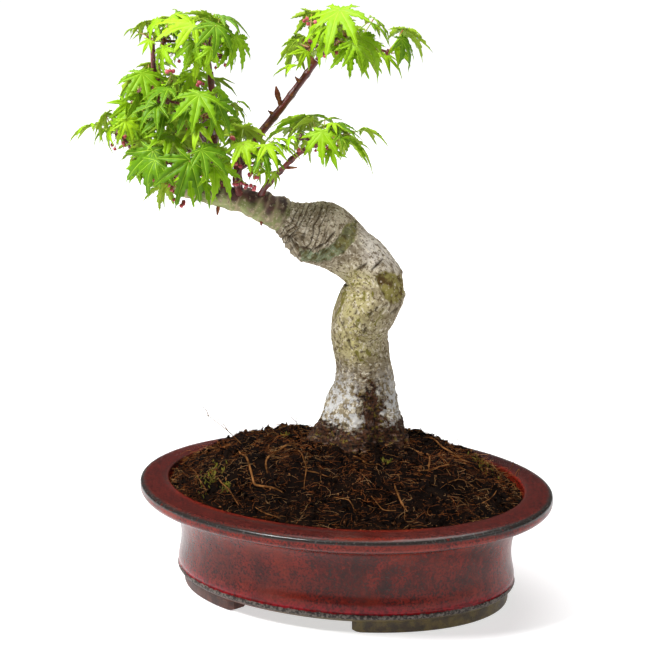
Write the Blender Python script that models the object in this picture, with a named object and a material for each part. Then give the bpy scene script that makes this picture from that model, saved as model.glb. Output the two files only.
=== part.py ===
"""A Japanese maple kept as a bonsai: a bent, tapering trunk with red shoots and spring leaves,
planted in a mound of soil in an oval glazed pot on two long feet.

Lengths are in metres (a value times MM is in millimetres) and +Z is up. Pot and soil are made in
the pot's frame, with the pot's long axis along X. The tree is made in its own frame, whose -Y side
is the tree's front, and stands turned by TREE_TURN in the pot.
"""

import math
import random

import bmesh
import bpy
from mathutils import Matrix, Vector, noise
from mathutils.bvhtree import BVHTree

MM = 0.001
GAP = 0.3 * MM  # air left between neighbouring pieces

# ---------------------------------------------------------------- driving dimensions: pot and soil

POT_HALF_LENGTH = 110 * MM
POT_HALF_WIDTH = 91.5 * MM
POT_SIDES = 48
SIDE_INSET = 1.1  # how much more the wall draws in across the pot than along it
FOOT_HEIGHT = 6.5 * MM
FOOT_DEPTH = 9 * MM
FOOT_SINK = 2 * MM  # how far a foot runs up into the pot's floor
FOOT_INSET = 22.3 * MM
FOOT_ARC = 67.5  # how far a foot runs to either side of the pot's long axis, in degrees
FOOT_STEPS = 19
FLOOR_TOP = 13.5 * MM
DRAIN_RADIUS = 7 * MM
DRAIN_SPACING = 70 * MM

# The pot's turned section, as (inset from the lip's edge, height), in millimetres.
OUTER_WALL = (
    (21.5, 6.5), (19.8, 8.5), (19.3, 14.0), (20.6, 22.5), (20.5, 30.0), (18.8, 37.5),
    (15.6, 43.5), (10.5, 48.2),
)
LIP = ((3.0, 48.7), (0.6, 50.5), (0.0, 53.0), (1.6, 56.0), (13.0, 57.3), (14.6, 56.6))
INNER_WALL = ((15.4, 53.0), (21.0, 42.0), (25.8, 27.0), (28.5, 13.5))

GROUND = 80 * MM  # height of the soil at the trunk
SOIL_EDGE = 54.5 * MM
SOIL_CLEARANCE = 0.5 * MM
SOIL_SIDES = 48
SOIL_RINGS = 10
SEAT_RADIUS = 31 * MM
LUMP_SIZE = 17 * MM  # how wide the mound's soft lumps are
LUMP_HEIGHT = 5 * MM

# --------------------------------------------------------------------- driving dimensions: the wood

TREE_TURN = math.radians(26)
TRUNK_SIDES = 20
BARK_LUMPS = 0.05  # relief of the trunk as a share of its radius
FLARE_LOBES = 5
FLARE_HEIGHT = 20 * MM

# Each limb is a chain of stations (x, y, height, radius) in millimetres, from foot to tip.
TRUNK = (
    (8.4, 0, 80.0, 25.4), (8.5, 0, 83.5, 23.6), (8.6, 0, 89.0, 21.4), (8.8, 0, 96.5, 19.2),
    (9.8, 1, 105.0, 16.8), (9.8, 2, 114.0, 15.1), (9.0, 2, 123.0, 14.2), (7.8, 1, 132.0, 13.9),
    (7.9, 0, 140.5, 14.4), (11.0, -2, 149.5, 15.2), (14.8, -3, 158.0, 14.6), (14.6, -3, 166.0, 14.0),
    (10.6, -2, 172.4, 13.5), (4.2, -1, 177.2, 13.3), (-2.4, 0, 182.0, 14.9), (-9.0, 0, 186.6, 16.2),
    (-15.8, -1, 189.6, 15.2), (-21.6, -2, 192.0, 12.6),
)
MAIN_LIMB = (
    (-17.0, -2, 190.0, 9.4), (-24.3, -2, 193.8, 9.0), (-32.9, -3, 198.6, 8.2), (-43.9, -4, 203.3, 7.0),
    (-52.9, -4, 206.0, 5.9), (-63.0, -3, 207.4, 5.1), (-73.1, -1, 209.3, 4.4), (-79.8, 1, 210.3, 3.8),
    (-90.0, 3, 212.0, 3.0), (-97.0, 4, 214.0, 2.5),
)
UPRIGHT_SHOOT = (
    (-60.0, -3, 207.0, 3.4), (-63.0, 0, 216.5, 3.1), (-65.5, 2, 225.3, 2.8), (-66.5, 3, 235.3, 2.6),
    (-65.7, 3, 244.0, 2.1), (-66.7, 2, 259.9, 1.7), (-67.4, 1, 270.0, 1.5),
)
INNER_BRANCH = (
    (-65.2, 2, 224.0, 2.3), (-73.1, 4, 228.0, 2.1), (-80.3, 6, 231.6, 2.0), (-86.8, 7, 239.2, 1.8),
    (-91.6, 7, 249.4, 1.6), (-95.0, 6, 260.0, 1.4), (-95.9, 4, 274.0, 1.3), (-96.0, 3, 281.0, 1.2),
)
LEFT_BRANCH = ((-91.3, 7, 248.8, 1.4), (-97.0, 4, 251.5, 1.3), (-103.0, 1, 254.5, 1.2))
FRONT_BRANCH = ((-73.0, -1, 209.3, 1.9), (-76.5, -9, 213.5, 1.6), (-80.0, -15, 218.0, 1.4))
CENTRE_BRANCH = ((-66.3, 3, 238.0, 1.6), (-68.0, -5, 242.5, 1.4), (-70.5, -12, 247.5, 1.2))
BACK_BRANCH = ((-63.4, 1, 218.0, 1.9), (-68.5, 11, 229.0, 1.6), (-75.0, 20, 239.0, 1.4))
FORK_TWIG = ((-52.0, -4, 206.0, 1.8), (-54.0, -11, 214.5, 1.5), (-53.5, -14, 220.0, 1.3))
LONG_SHOOT = (
    (-53.4, -4, 207.0, 2.4), (-54.1, -3, 220.2, 2.3), (-51.8, -2, 227.6, 2.2), (-47.3, -1, 233.3, 2.1),
    (-40.8, 1, 241.3, 2.0), (-31.8, 4, 251.9, 1.9), (-21.2, 8, 265.5, 1.7), (-14.5, 10, 274.4, 1.6),
)
LOW_SHOOT = (
    (-43.8, -4, 205.0, 1.6), (-40.7, -9, 212.7, 1.5), (-35.7, -11, 218.7, 1.4), (-29.6, -13, 225.6, 1.3),
    (-24.6, -14, 230.6, 1.3), (-20.6, -15, 233.6, 1.2),
)

# name: (stations, sides, the limb that it grows from)
BOUGHS = {
    "main_limb": (MAIN_LIMB, 14, "trunk"),
    "upright_shoot": (UPRIGHT_SHOOT, 7, "main_limb"),
    "inner_branch": (INNER_BRANCH, 7, "upright_shoot"),
    "left_branch": (LEFT_BRANCH, 6, "inner_branch"),
    "front_branch": (FRONT_BRANCH, 6, "main_limb"),
    "centre_branch": (CENTRE_BRANCH, 6, "upright_shoot"),
    "back_branch": (BACK_BRANCH, 6, "upright_shoot"),
    "fork_twig": (FORK_TWIG, 6, "main_limb"),
    "long_shoot": (LONG_SHOOT, 7, "main_limb"),
    "low_shoot": (LOW_SHOOT, 7, "main_limb"),
}

# ------------------------------------------------------------------- driving dimensions: the leaves

# name: (the limb whose tip it starts from, middle and reach of its space in millimetres, length of
# its leaves in millimetres, a seed for each of its buds)
MASSES = {
    "leaves_right_top": ("long_shoot", (1, 6, 286), (62, 36, 33), 28, (33194, 33243, 33118, 33142, 33006, 33214, 33162)),
    "leaves_right_low": ("low_shoot", (-7, -14, 237), (40, 30, 24), 25, (33222, 33243, 33227, 33256)),
    "leaves_top": ("upright_shoot", (-70, -2, 287), (36, 30, 27), 23, (33065, 33066, 33080, 33062, 33047)),
    "leaves_top_left": ("inner_branch", (-97, 1, 290), (28, 26, 23), 19, (33211, 33240)),
    "leaves_left_high": ("left_branch", (-108, 0, 261), (30, 28, 27), 23, (33130, 33034, 33080, 33023)),
    "leaves_front": ("front_branch", (-84, -24, 220), (36, 26, 28), 27, (33076, 33195, 33098, 33055, 33241)),
    "leaves_centre": ("centre_branch", (-73, -17, 250), (38, 28, 27), 27, (33070, 33002, 33098, 33138, 33202)),
    "leaves_left_low": ("main_limb", (-113, 2, 234), (38, 30, 30), 23, (33169, 33199, 33083, 33111, 33130)),
    "leaves_fork": ("fork_twig", (-47, -18, 231), (30, 26, 26), 28, (33249, 33025, 33150)),
    "leaves_back": ("back_branch", (-82, 32, 248), (44, 32, 36), 24, (33124, 33105, 33023, 33065, 33135, 33025)),
}

TWIG_RADIUS = 1.0 * MM
TWIG_SIDES = 3
STALK_RADIUS = 0.5 * MM
STALK_LENGTH = 13 * MM
SPREAD = math.radians(58)  # between a twig and the leaf stalks of a pair
SECOND_PAIR = 0.78  # size of a bud's inner pair of leaves next to its outer pair
TRIES = 14  # ways a leaf is turned before it is given up
LEAF_THICKNESS = 0.8 * MM
LEAF_DROOP = 0.3  # how far a lobe's tip hangs, as a share of its length
LOBE_WIDTH = 0.13  # half the width of a lobe, as a share of its length
SHOULDER = 0.6  # where a lobe is widest
SINUS = 0.36  # depth of the notches between lobes, as a share of the lobes beside them
# A leaf's lobes as (degrees from the middle lobe, length), mirrored to both sides.
LOBES = ((0, 1.0), (38, 0.93), (76, 0.7), (114, 0.38))
LEAF_BASE = 0.05  # the notch at the stalk
LEAF_CREST = 0.11  # where a blade is thickest, from the stalk towards the middle lobe's tip
BUD_RADIUS = 1.9 * MM
FLOWERS = 2  # hanging on a bud whose seed is odd
FLOWER_RADIUS = 1.5 * MM
FLOWER_STALK = 6.5 * MM

COLOURS = {
    "pot": ((0.24, 0.035, 0.03), 0.28),
    "soil": ((0.035, 0.02, 0.012), 0.95),
    "bark": ((0.47, 0.42, 0.33), 0.85),
    "green_bark": ((0.2, 0.2, 0.1), 0.6),
    "red_bark": ((0.13, 0.03, 0.02), 0.45),
    "leaf": ((0.2, 0.5, 0.03), 0.5),
}


# ------------------------------------------------------------------------------------ small helpers


def material(name):
    """The named finish as a Principled BSDF: colour and roughness."""
    made = bpy.data.materials.get(name) or bpy.data.materials.new(name)
    made.use_nodes = True
    shader = made.node_tree.nodes["Principled BSDF"]
    colour, roughness = COLOURS[name]
    shader.inputs["Base Color"].default_value = (*colour, 1)
    shader.inputs["Roughness"].default_value = roughness
    made.diffuse_color = (*colour, 1)
    return made


def add_object(name, points, faces, finish, collection, parent=None):
    """A mesh object with its faces turned outwards."""
    mesh = bpy.data.meshes.new(name)
    mesh.from_pydata([tuple(p) for p in points], [], faces)
    tidy = bmesh.new()
    tidy.from_mesh(mesh)
    bmesh.ops.recalc_face_normals(tidy, faces=tidy.faces)
    tidy.to_mesh(mesh)
    tidy.free()
    mesh.materials.append(material(finish))
    made = bpy.data.objects.new(name, mesh)
    made.parent = parent
    collection.objects.link(made)
    return made


def loft(rings):
    """Points and faces of a closed skin over rings of equally many points, capped at both ends."""
    sides = len(rings[0])
    points = [p for ring in rings for p in ring]
    faces = []
    for low in range(0, len(points) - sides, sides):
        for i in range(sides):
            j = (i + 1) % sides
            faces.append((low + i, low + j, low + sides + j, low + sides + i))
    faces.append(tuple(range(sides - 1, -1, -1)))
    faces.append(tuple(range(len(points) - sides, len(points))))
    return points, faces


def new_collection(name, shown=True):
    made = bpy.data.collections.new(name)
    bpy.context.scene.collection.children.link(made)
    made.hide_render = not shown
    return made


def keep_largest_shell(mesh):
    """Leaves one closed shell: a sealed hollow is filled and a loose scrap is dropped."""
    work = bmesh.new()
    work.from_mesh(mesh)
    bmesh.ops.triangulate(work, faces=work.faces, ngon_method="EAR_CLIP")
    left = set(work.faces)
    shells = []
    while left:
        shell = [left.pop()]
        for face in shell:
            for edge in face.edges:
                for other in edge.link_faces if len(edge.link_faces) == 2 else ():
                    if other in left:
                        left.remove(other)
                        shell.append(other)
        shells.append(shell)
    shells.sort(key=len)
    bmesh.ops.delete(work, geom=[f for shell in shells[:-1] for f in shell], context="FACES")
    work.to_mesh(mesh)
    work.free()


def apply_boolean(target, operation, other=None, collection=None, solver="EXACT"):
    """Applies a Boolean modifier to target, with an object or a collection of objects."""
    cut = target.modifiers.new(operation.lower(), "BOOLEAN")
    cut.operation = operation
    cut.solver = solver
    if collection:
        cut.operand_type = "COLLECTION"
        cut.collection = collection
    else:
        cut.object = other
    bpy.context.view_layer.update()
    graph = bpy.context.evaluated_depsgraph_get()
    result = bpy.data.meshes.new_from_object(target.evaluated_get(graph))
    result.name = target.name
    target.modifiers.clear()
    target.data = result


# ------------------------------------------------------------------------------------- pot and soil


def oval_point(inset, height, angle):
    """A point on the pot's wall, at an inset from the lip's edge and an angle from the long axis."""
    return Vector((
        (POT_HALF_LENGTH - inset) * math.cos(angle),
        (POT_HALF_WIDTH - SIDE_INSET * inset) * math.sin(angle),
        height,
    ))


def oval_ring(inset, height, sides):
    return [oval_point(inset, height, math.tau * i / sides) for i in range(sides)]


def make_foot(number, collection, root):
    """One foot: a bar curved around one end of the pot, flat underneath."""
    rings = []
    for step in range(FOOT_STEPS):
        part = step / (FOOT_STEPS - 1)
        angle = math.radians(180 * number + FOOT_ARC * (2 * part - 1))
        out, back = FOOT_INSET, FOOT_INSET + FOOT_DEPTH
        chamfer = 1.2 * MM if step in (0, FOOT_STEPS - 1) else 0.4 * MM
        rings.append([
            oval_point(out, FOOT_HEIGHT + FOOT_SINK, angle),
            oval_point(out, chamfer, angle),
            oval_point(out + chamfer, 0, angle),
            oval_point(back, 0, angle),
            oval_point(back, FOOT_HEIGHT + FOOT_SINK, angle),
        ])
    return add_object(f"foot_{number}", *loft(rings), "pot", collection, root)


def make_pot(collection, parts, cutters, root):
    """The oval pot: wall, lip and floor as one lofted body, its feet joined on and drained below."""
    section = [(inset * MM, height * MM) for inset, height in (*OUTER_WALL, *LIP, *INNER_WALL)]
    rings = [oval_ring(inset, height, POT_SIDES) for inset, height in section]
    pot = add_object("pot", *loft(rings), "pot", collection, root)
    for number in range(2):
        make_foot(number, parts, root)
    apply_boolean(pot, "UNION", collection=parts)
    for side in (-1, 1):
        tool = bmesh.new()
        bmesh.ops.create_cone(
            tool, cap_ends=True, segments=20, radius1=DRAIN_RADIUS, radius2=DRAIN_RADIUS, depth=40 * MM
        )
        mesh = bpy.data.meshes.new("drain")
        tool.to_mesh(mesh)
        tool.free()
        drain = bpy.data.objects.new("drain", mesh)
        drain.location = (side * DRAIN_SPACING / 2, 0, FLOOR_TOP - 10 * MM)
        drain.display_type = "WIRE"
        drain.hide_render = True
        drain.parent = root
        cutters.objects.link(drain)
        apply_boolean(pot, "DIFFERENCE", other=drain)
    for old in list(parts.objects):
        bpy.data.objects.remove(old)
    return pot


def soil_height(share, angle):
    """Height of the even mound at a share of the way from the trunk to the pot's wall.

    It stands as a bank on the tree's left and right, and falls away at once behind the trunk.
    """
    across_view, away = math.cos(angle - TREE_TURN), math.sin(angle - TREE_TURN)
    steepness = 1.5 + 1.6 * max(0.0, -across_view) + 0.4 * max(0.0, across_view) - 1.2 * max(0.0, away)
    return SOIL_EDGE + (GROUND - GAP - SOIL_EDGE) * (1 - share ** max(0.7, steepness))


def mound_height(spot, share, angle):
    """Height of the mound at a spot, with soft lumps that die out at the trunk and the wall."""
    lump = noise.noise(Vector((*spot, 0)) / LUMP_SIZE) * LUMP_HEIGHT
    return soil_height(share, angle) + lump * min(1, 5 * share) * min(1, 4 * (1 - share))


def make_soil(collection, root):
    """The root ball: the pot's filling below, a rough mound above, and a flat seat for the trunk."""
    rings = []
    for inset, height in reversed(INNER_WALL):
        clear = inset * MM + SOIL_CLEARANCE
        rings.append(oval_ring(clear, height * MM + SOIL_CLEARANCE, SOIL_SIDES))
    foot = turned(Vector(TRUNK[0][:2]) * MM)
    for step in range(SOIL_RINGS):
        part = 1 - step / (SOIL_RINGS - 1)
        ring = []
        for i in range(SOIL_SIDES):
            angle = math.tau * i / SOIL_SIDES
            edge = oval_point(INNER_WALL[0][0] * MM + 1.6 * MM, 0, angle).xy
            seat = foot + Vector((math.cos(angle), math.sin(angle))) * SEAT_RADIUS
            spot = seat.lerp(edge, part)
            share = ((spot - foot).length - SEAT_RADIUS) / max((edge - foot).length - SEAT_RADIUS, MM)
            share = min(max(share, 0.0), 1.0)
            ring.append(Vector((*spot, mound_height(spot, share, angle))))
        rings.append(ring)
    return add_object("soil", *loft(rings), "soil", collection, root)


# ------------------------------------------------------------------------------------------ the wood


def turned(vector):
    """A point of the tree's frame in the pot's frame."""
    turn = Matrix.Rotation(TREE_TURN, 2 if len(vector) == 2 else 3, *(() if len(vector) == 2 else ("Z",)))
    return turn @ vector


def smooth_chain(stations, per_span):
    """Points and radii along a smooth curve through a limb's stations (Catmull-Rom)."""
    knots = [Vector(s) * MM for s in stations]
    chain = []
    for k in range(len(knots) - 1):
        before = knots[k - 1] if k else knots[0] * 2 - knots[1]
        after = knots[k + 2] if k + 2 < len(knots) else knots[-1] * 2 - knots[-2]
        a, b = knots[k], knots[k + 1]
        for step in range(per_span):
            t = step / per_span
            chain.append(
                (a * 2 + (b - before) * t + (before * 2 - a * 5 + b * 4 - after) * t**2
                 + (a * 3 - before - b * 3 + after) * t**3) / 2
            )
    chain.append(knots[-1])
    return [p.xyz for p in chain], [p.w for p in chain]


def across(direction):
    """Two unit vectors square to a direction."""
    side = direction.cross(Vector((0, 1, 0)))
    if side.length < 0.2:
        side = direction.cross(Vector((1, 0, 0)))
    side.normalize()
    return side, side.cross(direction).normalized()


def tube_rings(points, radii, sides, relief=None):
    """Rings square to a path. relief(position along the path, angle) scales the radius."""
    rings = []
    for k, (point, radius) in enumerate(zip(points, radii)):
        ahead = points[min(k + 1, len(points) - 1)] - points[max(k - 1, 0)]
        if relief and k == 0:
            ahead = Vector((0, 0, 1))  # the trunk is cut level with the ground
        u, v = across(ahead.normalized())
        ring = []
        for i in range(sides):
            angle = math.tau * i / sides
            scale = relief(k / (len(points) - 1), angle, point) if relief else 1.0
            ring.append(point + (u * math.cos(angle) + v * math.sin(angle)) * radius * scale)
        rings.append(ring)
    return rings


def trunk_relief(along, angle, point):
    """Root flare at the foot, and uneven swellings all the way up."""
    flare = max(0.0, 1 - (point.z - GROUND) / FLARE_HEIGHT)
    roots = 0.11 * flare * math.cos(FLARE_LOBES * angle + 0.6)
    lumps = math.sin(3 * angle + 31 * along) * math.sin(17 * along + angle)
    return 1 + roots + BARK_LUMPS * lumps * min(1.0, 12 * along) * (1 - along)


def make_trunk(collection, tree):
    points, radii = smooth_chain(TRUNK, 2)
    rings = tube_rings(points, radii, TRUNK_SIDES, trunk_relief)
    return add_object("trunk", *loft(rings), "bark", collection, tree)


def make_bough(name, collection, tree):
    stations, sides, _ = BOUGHS[name]
    points, radii = smooth_chain(stations, 2)
    thick = stations[0][3] > 5
    finish = "green_bark" if thick else "red_bark"
    return add_object(name, *loft(tube_rings(points, radii, sides)), finish, collection, tree)


def cut_clear(bough, parent, cutters):
    """Trims a bough's foot to the limb that it grows from, a gap away from it."""
    cutter = parent.copy()
    cutter.data = parent.data.copy()
    cutter.name = "around_" + parent.name
    work = bmesh.new()
    work.from_mesh(cutter.data)
    work.normal_update()
    for vertex in work.verts:
        vertex.co += vertex.normal * GAP * 1.3
    work.to_mesh(cutter.data)
    work.free()
    cutter.hide_render = True
    cutter.display_type = "WIRE"
    cutters.objects.link(cutter)
    apply_boolean(bough, "DIFFERENCE", other=cutter)
    keep_largest_shell(bough.data)


# ---------------------------------------------------------------------------------------- the leaves


def leaf_outline():
    """A leaf of length 1, flat, its stalk at the origin and its middle lobe along X."""
    outline = []

    def add(degrees, radius):
        angle = math.radians(degrees)
        outline.append(Vector((radius * math.cos(angle), radius * math.sin(angle), 0)))

    half = []
    for k, (degrees, length) in enumerate(LOBES):
        wide = math.degrees(math.atan2(LOBE_WIDTH, SHOULDER))
        last = k == len(LOBES) - 1
        if k and not last:
            half.append((degrees - wide, length * SHOULDER))
        half.append((degrees, length))
        if not last:
            half.append((degrees + wide, length * SHOULDER))
            follows, shorter = LOBES[k + 1]
            half.append(((degrees + follows) / 2, SINUS * (length + shorter) / 2))
    for degrees, radius in reversed(half[1:]):
        add(-degrees, radius)
    for degrees, radius in half:
        add(degrees, radius)
    add(180, LEAF_BASE)
    return outline


OUTLINE = leaf_outline()


def leaf_shell(place, length, thickness=LEAF_THICKNESS):
    """A leaf as a closed shell that is thickest near its stalk and drooping at its tips."""
    points = []
    for p in OUTLINE:
        reach = math.hypot(p.x, p.y)
        points.append(place @ (Vector((p.x, p.y, -LEAF_DROOP * reach**2)) * length))
    top = place @ Vector((LEAF_CREST * length, 0, thickness / 2))
    below = place @ Vector((LEAF_CREST * length, 0, -thickness / 2))
    count = len(points)
    faces = [(count, i, (i + 1) % count) for i in range(count)]
    faces += [(count + 1, (i + 1) % count, i) for i in range(count)]
    return points + [top, below], faces


def rod_shell(path, radius, tip_radius, sides=TWIG_SIDES):
    radii = [radius + (tip_radius - radius) * k / (len(path) - 1) for k in range(len(path))]
    return loft(tube_rings(path, radii, sides))


def drop_shell(middle, radius):
    """A bud or a flower head: an eight-sided drop."""
    points = [middle + Vector(d) * radius for d in (
        (1, 0, 0), (0, 1, 0), (-1, 0, 0), (0, -1, 0), (0, 0, 1.3), (0, 0, -1.3))]
    faces = [(4, 0, 1), (4, 1, 2), (4, 2, 3), (4, 3, 0), (5, 1, 0), (5, 2, 1), (5, 3, 2), (5, 0, 3)]
    return points, faces


def tree_of(shells):
    """A search tree over shells, to find what touches what."""
    points, faces = [], []
    for shell_points, shell_faces in shells:
        start = len(points)
        points += [tuple(p) for p in shell_points]
        faces += [tuple(start + i for i in face) for face in shell_faces]
    return BVHTree.FromPolygons(points, faces) if faces else None


class Space:
    """A mass's own room: an ellipsoid, less what limbs, other masses and its own parts take up."""

    def __init__(self, middle, reach, blocked):
        self.middle = Vector(middle) * MM
        self.reach = Vector(reach) * MM
        self.blocked = list(blocked)
        self.sticks = []

    def holds(self, points):
        for p in points:
            d = p - self.middle
            if (d.x / self.reach.x) ** 2 + (d.y / self.reach.y) ** 2 + (d.z / self.reach.z) ** 2 > 1:
                return False
        return True

    def is_free(self, shell, sticks=False):
        """Whether a shell touches nothing. The mass's own sticks count only where asked for."""
        probe = tree_of([shell])
        return not any(tree.overlap(probe) for tree in self.blocked + (self.sticks if sticks else []))


def leaf_place(foot, outward, pitch, roll):
    """Where a blade sits: its middle lobe points outward and down by pitch, tilted by roll."""
    level = Vector((outward.x, outward.y, 0))
    level = level.normalized() if level.length > 0.05 else Vector((1, 0, 0))
    ahead = (level * math.cos(pitch) - Vector((0, 0, 1)) * math.sin(pitch)).normalized()
    side = Vector((0, 0, 1)).cross(level).normalized()
    side = Matrix.Rotation(roll, 3, ahead) @ side
    up = ahead.cross(side).normalized()
    turn = Matrix((ahead, side, up)).transposed().to_4x4()
    return Matrix.Translation(foot) @ turn


def stem_of(mass):
    """The path of a mass's stem, from the tip of its limb into its space."""
    points, _ = smooth_chain(BOUGHS[mass[0]][0], 2)
    tip, heading = points[-1], (points[-1] - points[-2]).normalized()
    end = tip.lerp(Vector(mass[1]) * MM, 0.45)
    start = tip + heading * GAP
    bend = start + heading * 3 * MM
    return [start, bend, bend.lerp(end, 0.5) + heading * (end - tip).length * 0.12, end]


def grow_leaf(rng, space, target, way, length):
    """Tries one leaf on its stalk: None where it would leave its space or touch something."""
    foot = target + way * STALK_LENGTH * rng.uniform(0.5, 1.3)
    pitch, roll = math.radians(rng.uniform(0, 70)), math.radians(rng.gauss(0, 20))
    place = leaf_place(foot, way, pitch, roll)
    stalk = [target, place @ Vector((0.6 * MM, 0, 0))]
    if not space.holds(leaf_shell(place, length)[0]):
        return None
    if not space.is_free(leaf_shell(place, length, 2 * MM), sticks=True):
        return None
    if not space.is_free(rod_shell(stalk, 1.2 * MM, 1.2 * MM)):
        return None
    space.blocked.append(tree_of([leaf_shell(place, length, 2 * MM)]))
    space.sticks.append(tree_of([rod_shell([target, target.lerp(foot, 0.7)], 1.2 * MM, 1.2 * MM)]))
    return place, length, stalk


def grow_bud(seed, space, stem, leaf_length):
    """Grows a twig off the stem to one bud, the bud's two crossed pairs of leaves, and its flowers."""
    rng = random.Random(seed)
    angle = rng.uniform(0, math.tau)
    away = Vector((math.cos(angle), math.sin(angle), rng.uniform(-0.8, 0.9))) * rng.uniform(0.15, 0.72)
    target = space.middle + away * space.reach
    root = stem[-2].lerp(stem[-1], rng.uniform(0.15, 0.95))
    knee = root.lerp(target, 0.5) + Vector((0, 0, 1)) * (target - root).length * 0.12
    path = [root, knee, target]
    if not space.is_free(rod_shell(path, TWIG_RADIUS * 1.5, TWIG_RADIUS * 1.5)):
        return [], [], []
    if not space.is_free(drop_shell(target, BUD_RADIUS * 1.2)):
        return [], [], []
    space.sticks.append(tree_of([rod_shell(path, TWIG_RADIUS * 1.2, TWIG_RADIUS * 1.2)]))
    along = (target - knee).normalized()
    u, v = across(along)
    quarter = rng.uniform(0, math.tau)
    leaves, flowers = [], []
    for number in range(4):
        pair = number // 2
        for _ in range(TRIES):
            around = quarter + (pair + 2 * number) * math.pi / 2 + rng.uniform(-0.6, 0.6)
            sideways = u * math.cos(around) + v * math.sin(around)
            way = along * math.cos(SPREAD) + sideways * math.sin(SPREAD)
            way = (way + Vector((0, 0, rng.uniform(0.1, 0.6)))).normalized()
            length = leaf_length * MM * rng.uniform(0.75, 1.1) * (SECOND_PAIR if pair else 1.0)
            leaf = grow_leaf(rng, space, target, way, length)
            if leaf:
                leaves.append(leaf)
                break
    for k in range(FLOWERS if seed % 2 else 0):
        angle = quarter + math.tau * k / FLOWERS
        hang = Vector((math.cos(angle) * 0.55, math.sin(angle) * 0.55, -1)).normalized()
        berry = target + hang * FLOWER_STALK * rng.uniform(0.8, 1.25)
        shell = drop_shell(berry, FLOWER_RADIUS * 1.4)
        if space.holds(shell[0]) and space.is_free(shell, sticks=True):
            flowers.append((berry, [target, berry]))
    return [(path, TWIG_RADIUS * 0.9, TWIG_RADIUS * 0.7)], leaves, flowers


def grow_mass(mass, stem, blocked):
    """Grows one mass on its stem. Returns its wood, its leaves and its flowers.

    A leaf is (place, length, its stalk's path), a piece of wood (path, radius, radius at the tip).
    """
    _, middle, reach, leaf_length, seeds = mass
    space = Space(middle, reach, blocked)
    space.sticks.append(tree_of([rod_shell(stem, TWIG_RADIUS * 1.4, TWIG_RADIUS * 1.4)]))
    grown = [(stem, TWIG_RADIUS * 1.2, TWIG_RADIUS)], [], []
    for seed in seeds:
        for kept, new in zip(grown, grow_bud(seed, space, stem, leaf_length)):
            kept.extend(new)
    return grown


def shells_of(wood, leaves, flowers):
    shells = [rod_shell(path, *radii) for path, *radii in wood]
    for place, length, path in leaves:
        shells.append(rod_shell(path, STALK_RADIUS, STALK_RADIUS))
        shells.append(leaf_shell(place, length))
    for path, *_ in wood[1:]:
        shells.append(drop_shell(path[-1], BUD_RADIUS))
    for berry, path in flowers:
        shells.append(rod_shell(path, STALK_RADIUS * 0.8, STALK_RADIUS * 0.8))
        shells.append(drop_shell(berry, FLOWER_RADIUS))
    return shells


def widened(shells, by):
    """The shells pushed out a little all round, so that what grows beside them keeps clear."""
    wide = []
    for points, faces in shells:
        middle = sum(points, Vector()) / len(points)
        wide.append(([p + (p - middle).normalized() * by for p in points], faces))
    return wide


def fuse_mass(name, shells, collection, parts, tree):
    """Joins a mass's stem, twigs, leaves and flowers into one closed body."""
    stem, *others = shells
    body = add_object(name, *stem, "leaf", collection, tree)
    for k, shell in enumerate(others):
        add_object(f"{name}_{k}", *shell, "leaf", parts, tree)
    apply_boolean(body, "UNION", collection=parts, solver="MANIFOLD")
    keep_largest_shell(body.data)
    for old in list(parts.objects):
        bpy.data.objects.remove(old)
    return body


def limb_shells(margin):
    """Skins around the trunk and every bough, pushed out by a margin."""
    chains = {"trunk": (TRUNK, TRUNK_SIDES), **{name: bough[:2] for name, bough in BOUGHS.items()}}
    shells = []
    for stations, sides in chains.values():
        points, radii = smooth_chain(stations, 2)
        shells.append(loft(tube_rings(points, [r + margin for r in radii], sides)))
    return shells


def grow_all():
    """Every mass, in order, each keeping clear of the limbs, the stems and the masses before it."""
    limbs = tree_of(limb_shells(0.8 * MM))
    stems = {name: stem_of(mass) for name, mass in MASSES.items()}
    grown, taken = {}, []
    for name, mass in MASSES.items():
        others = [rod_shell(s, TWIG_RADIUS * 2, TWIG_RADIUS * 2) for n, s in stems.items() if n != name]
        grown[name] = grow_mass(mass, stems[name], [limbs, tree_of(others), *taken])
        taken.append(tree_of(widened(shells_of(*grown[name]), 0.5 * MM)))
    return grown


def stand_on_origin(root, pieces):
    """Moves the whole thing so that the origin is under the middle of its outer box."""
    bpy.context.view_layer.update()
    corners = [piece.matrix_world @ v.co for piece in pieces for v in piece.data.vertices]
    for axis in range(2):
        values = [c[axis] for c in corners]
        root.location[axis] = -(min(values) + max(values)) / 2
    bpy.context.view_layer.update()


def main():
    for old in list(bpy.data.objects):
        bpy.data.objects.remove(old)
    collection = new_collection("japanese_maple_bonsai")
    parts = new_collection("parts_to_join", shown=False)
    cutters = new_collection("cutters", shown=False)
    root = bpy.data.objects.new("pot_centre", None)
    tree = bpy.data.objects.new("tree", None)
    tree.rotation_euler = (0, 0, TREE_TURN)
    tree.parent = root
    collection.objects.link(root)
    collection.objects.link(tree)
    bpy.context.view_layer.update()

    make_pot(collection, parts, cutters, root)
    make_soil(collection, root)
    limbs = {"trunk": make_trunk(collection, tree)}
    for name in BOUGHS:
        limbs[name] = make_bough(name, collection, tree)
    for name, (_, _, parent) in BOUGHS.items():
        cut_clear(limbs[name], limbs[parent], cutters)
    for name, grown in grow_all().items():
        fuse_mass(name, shells_of(*grown), collection, parts, tree)
    meshes = [o for o in collection.objects if o.type == "MESH"]
    for made in meshes:
        made.data.shade_smooth()
        made.data.set_sharp_from_angle(angle=math.radians(40))
    stand_on_origin(root, meshes)


if __name__ == "__main__":
    main()
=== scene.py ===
"""A Japanese maple kept as a bonsai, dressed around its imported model: a glazed oval pot, loose soil
with roots, a trunk in rough pale bark, red shoots, and leaves that grow by the rule of the solids.

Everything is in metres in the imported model's frame. The tree is worked out in its own frame, whose
-Y side is its front, and TREE carries it into place. A value times MM is in millimetres.
"""

import math
import random

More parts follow.
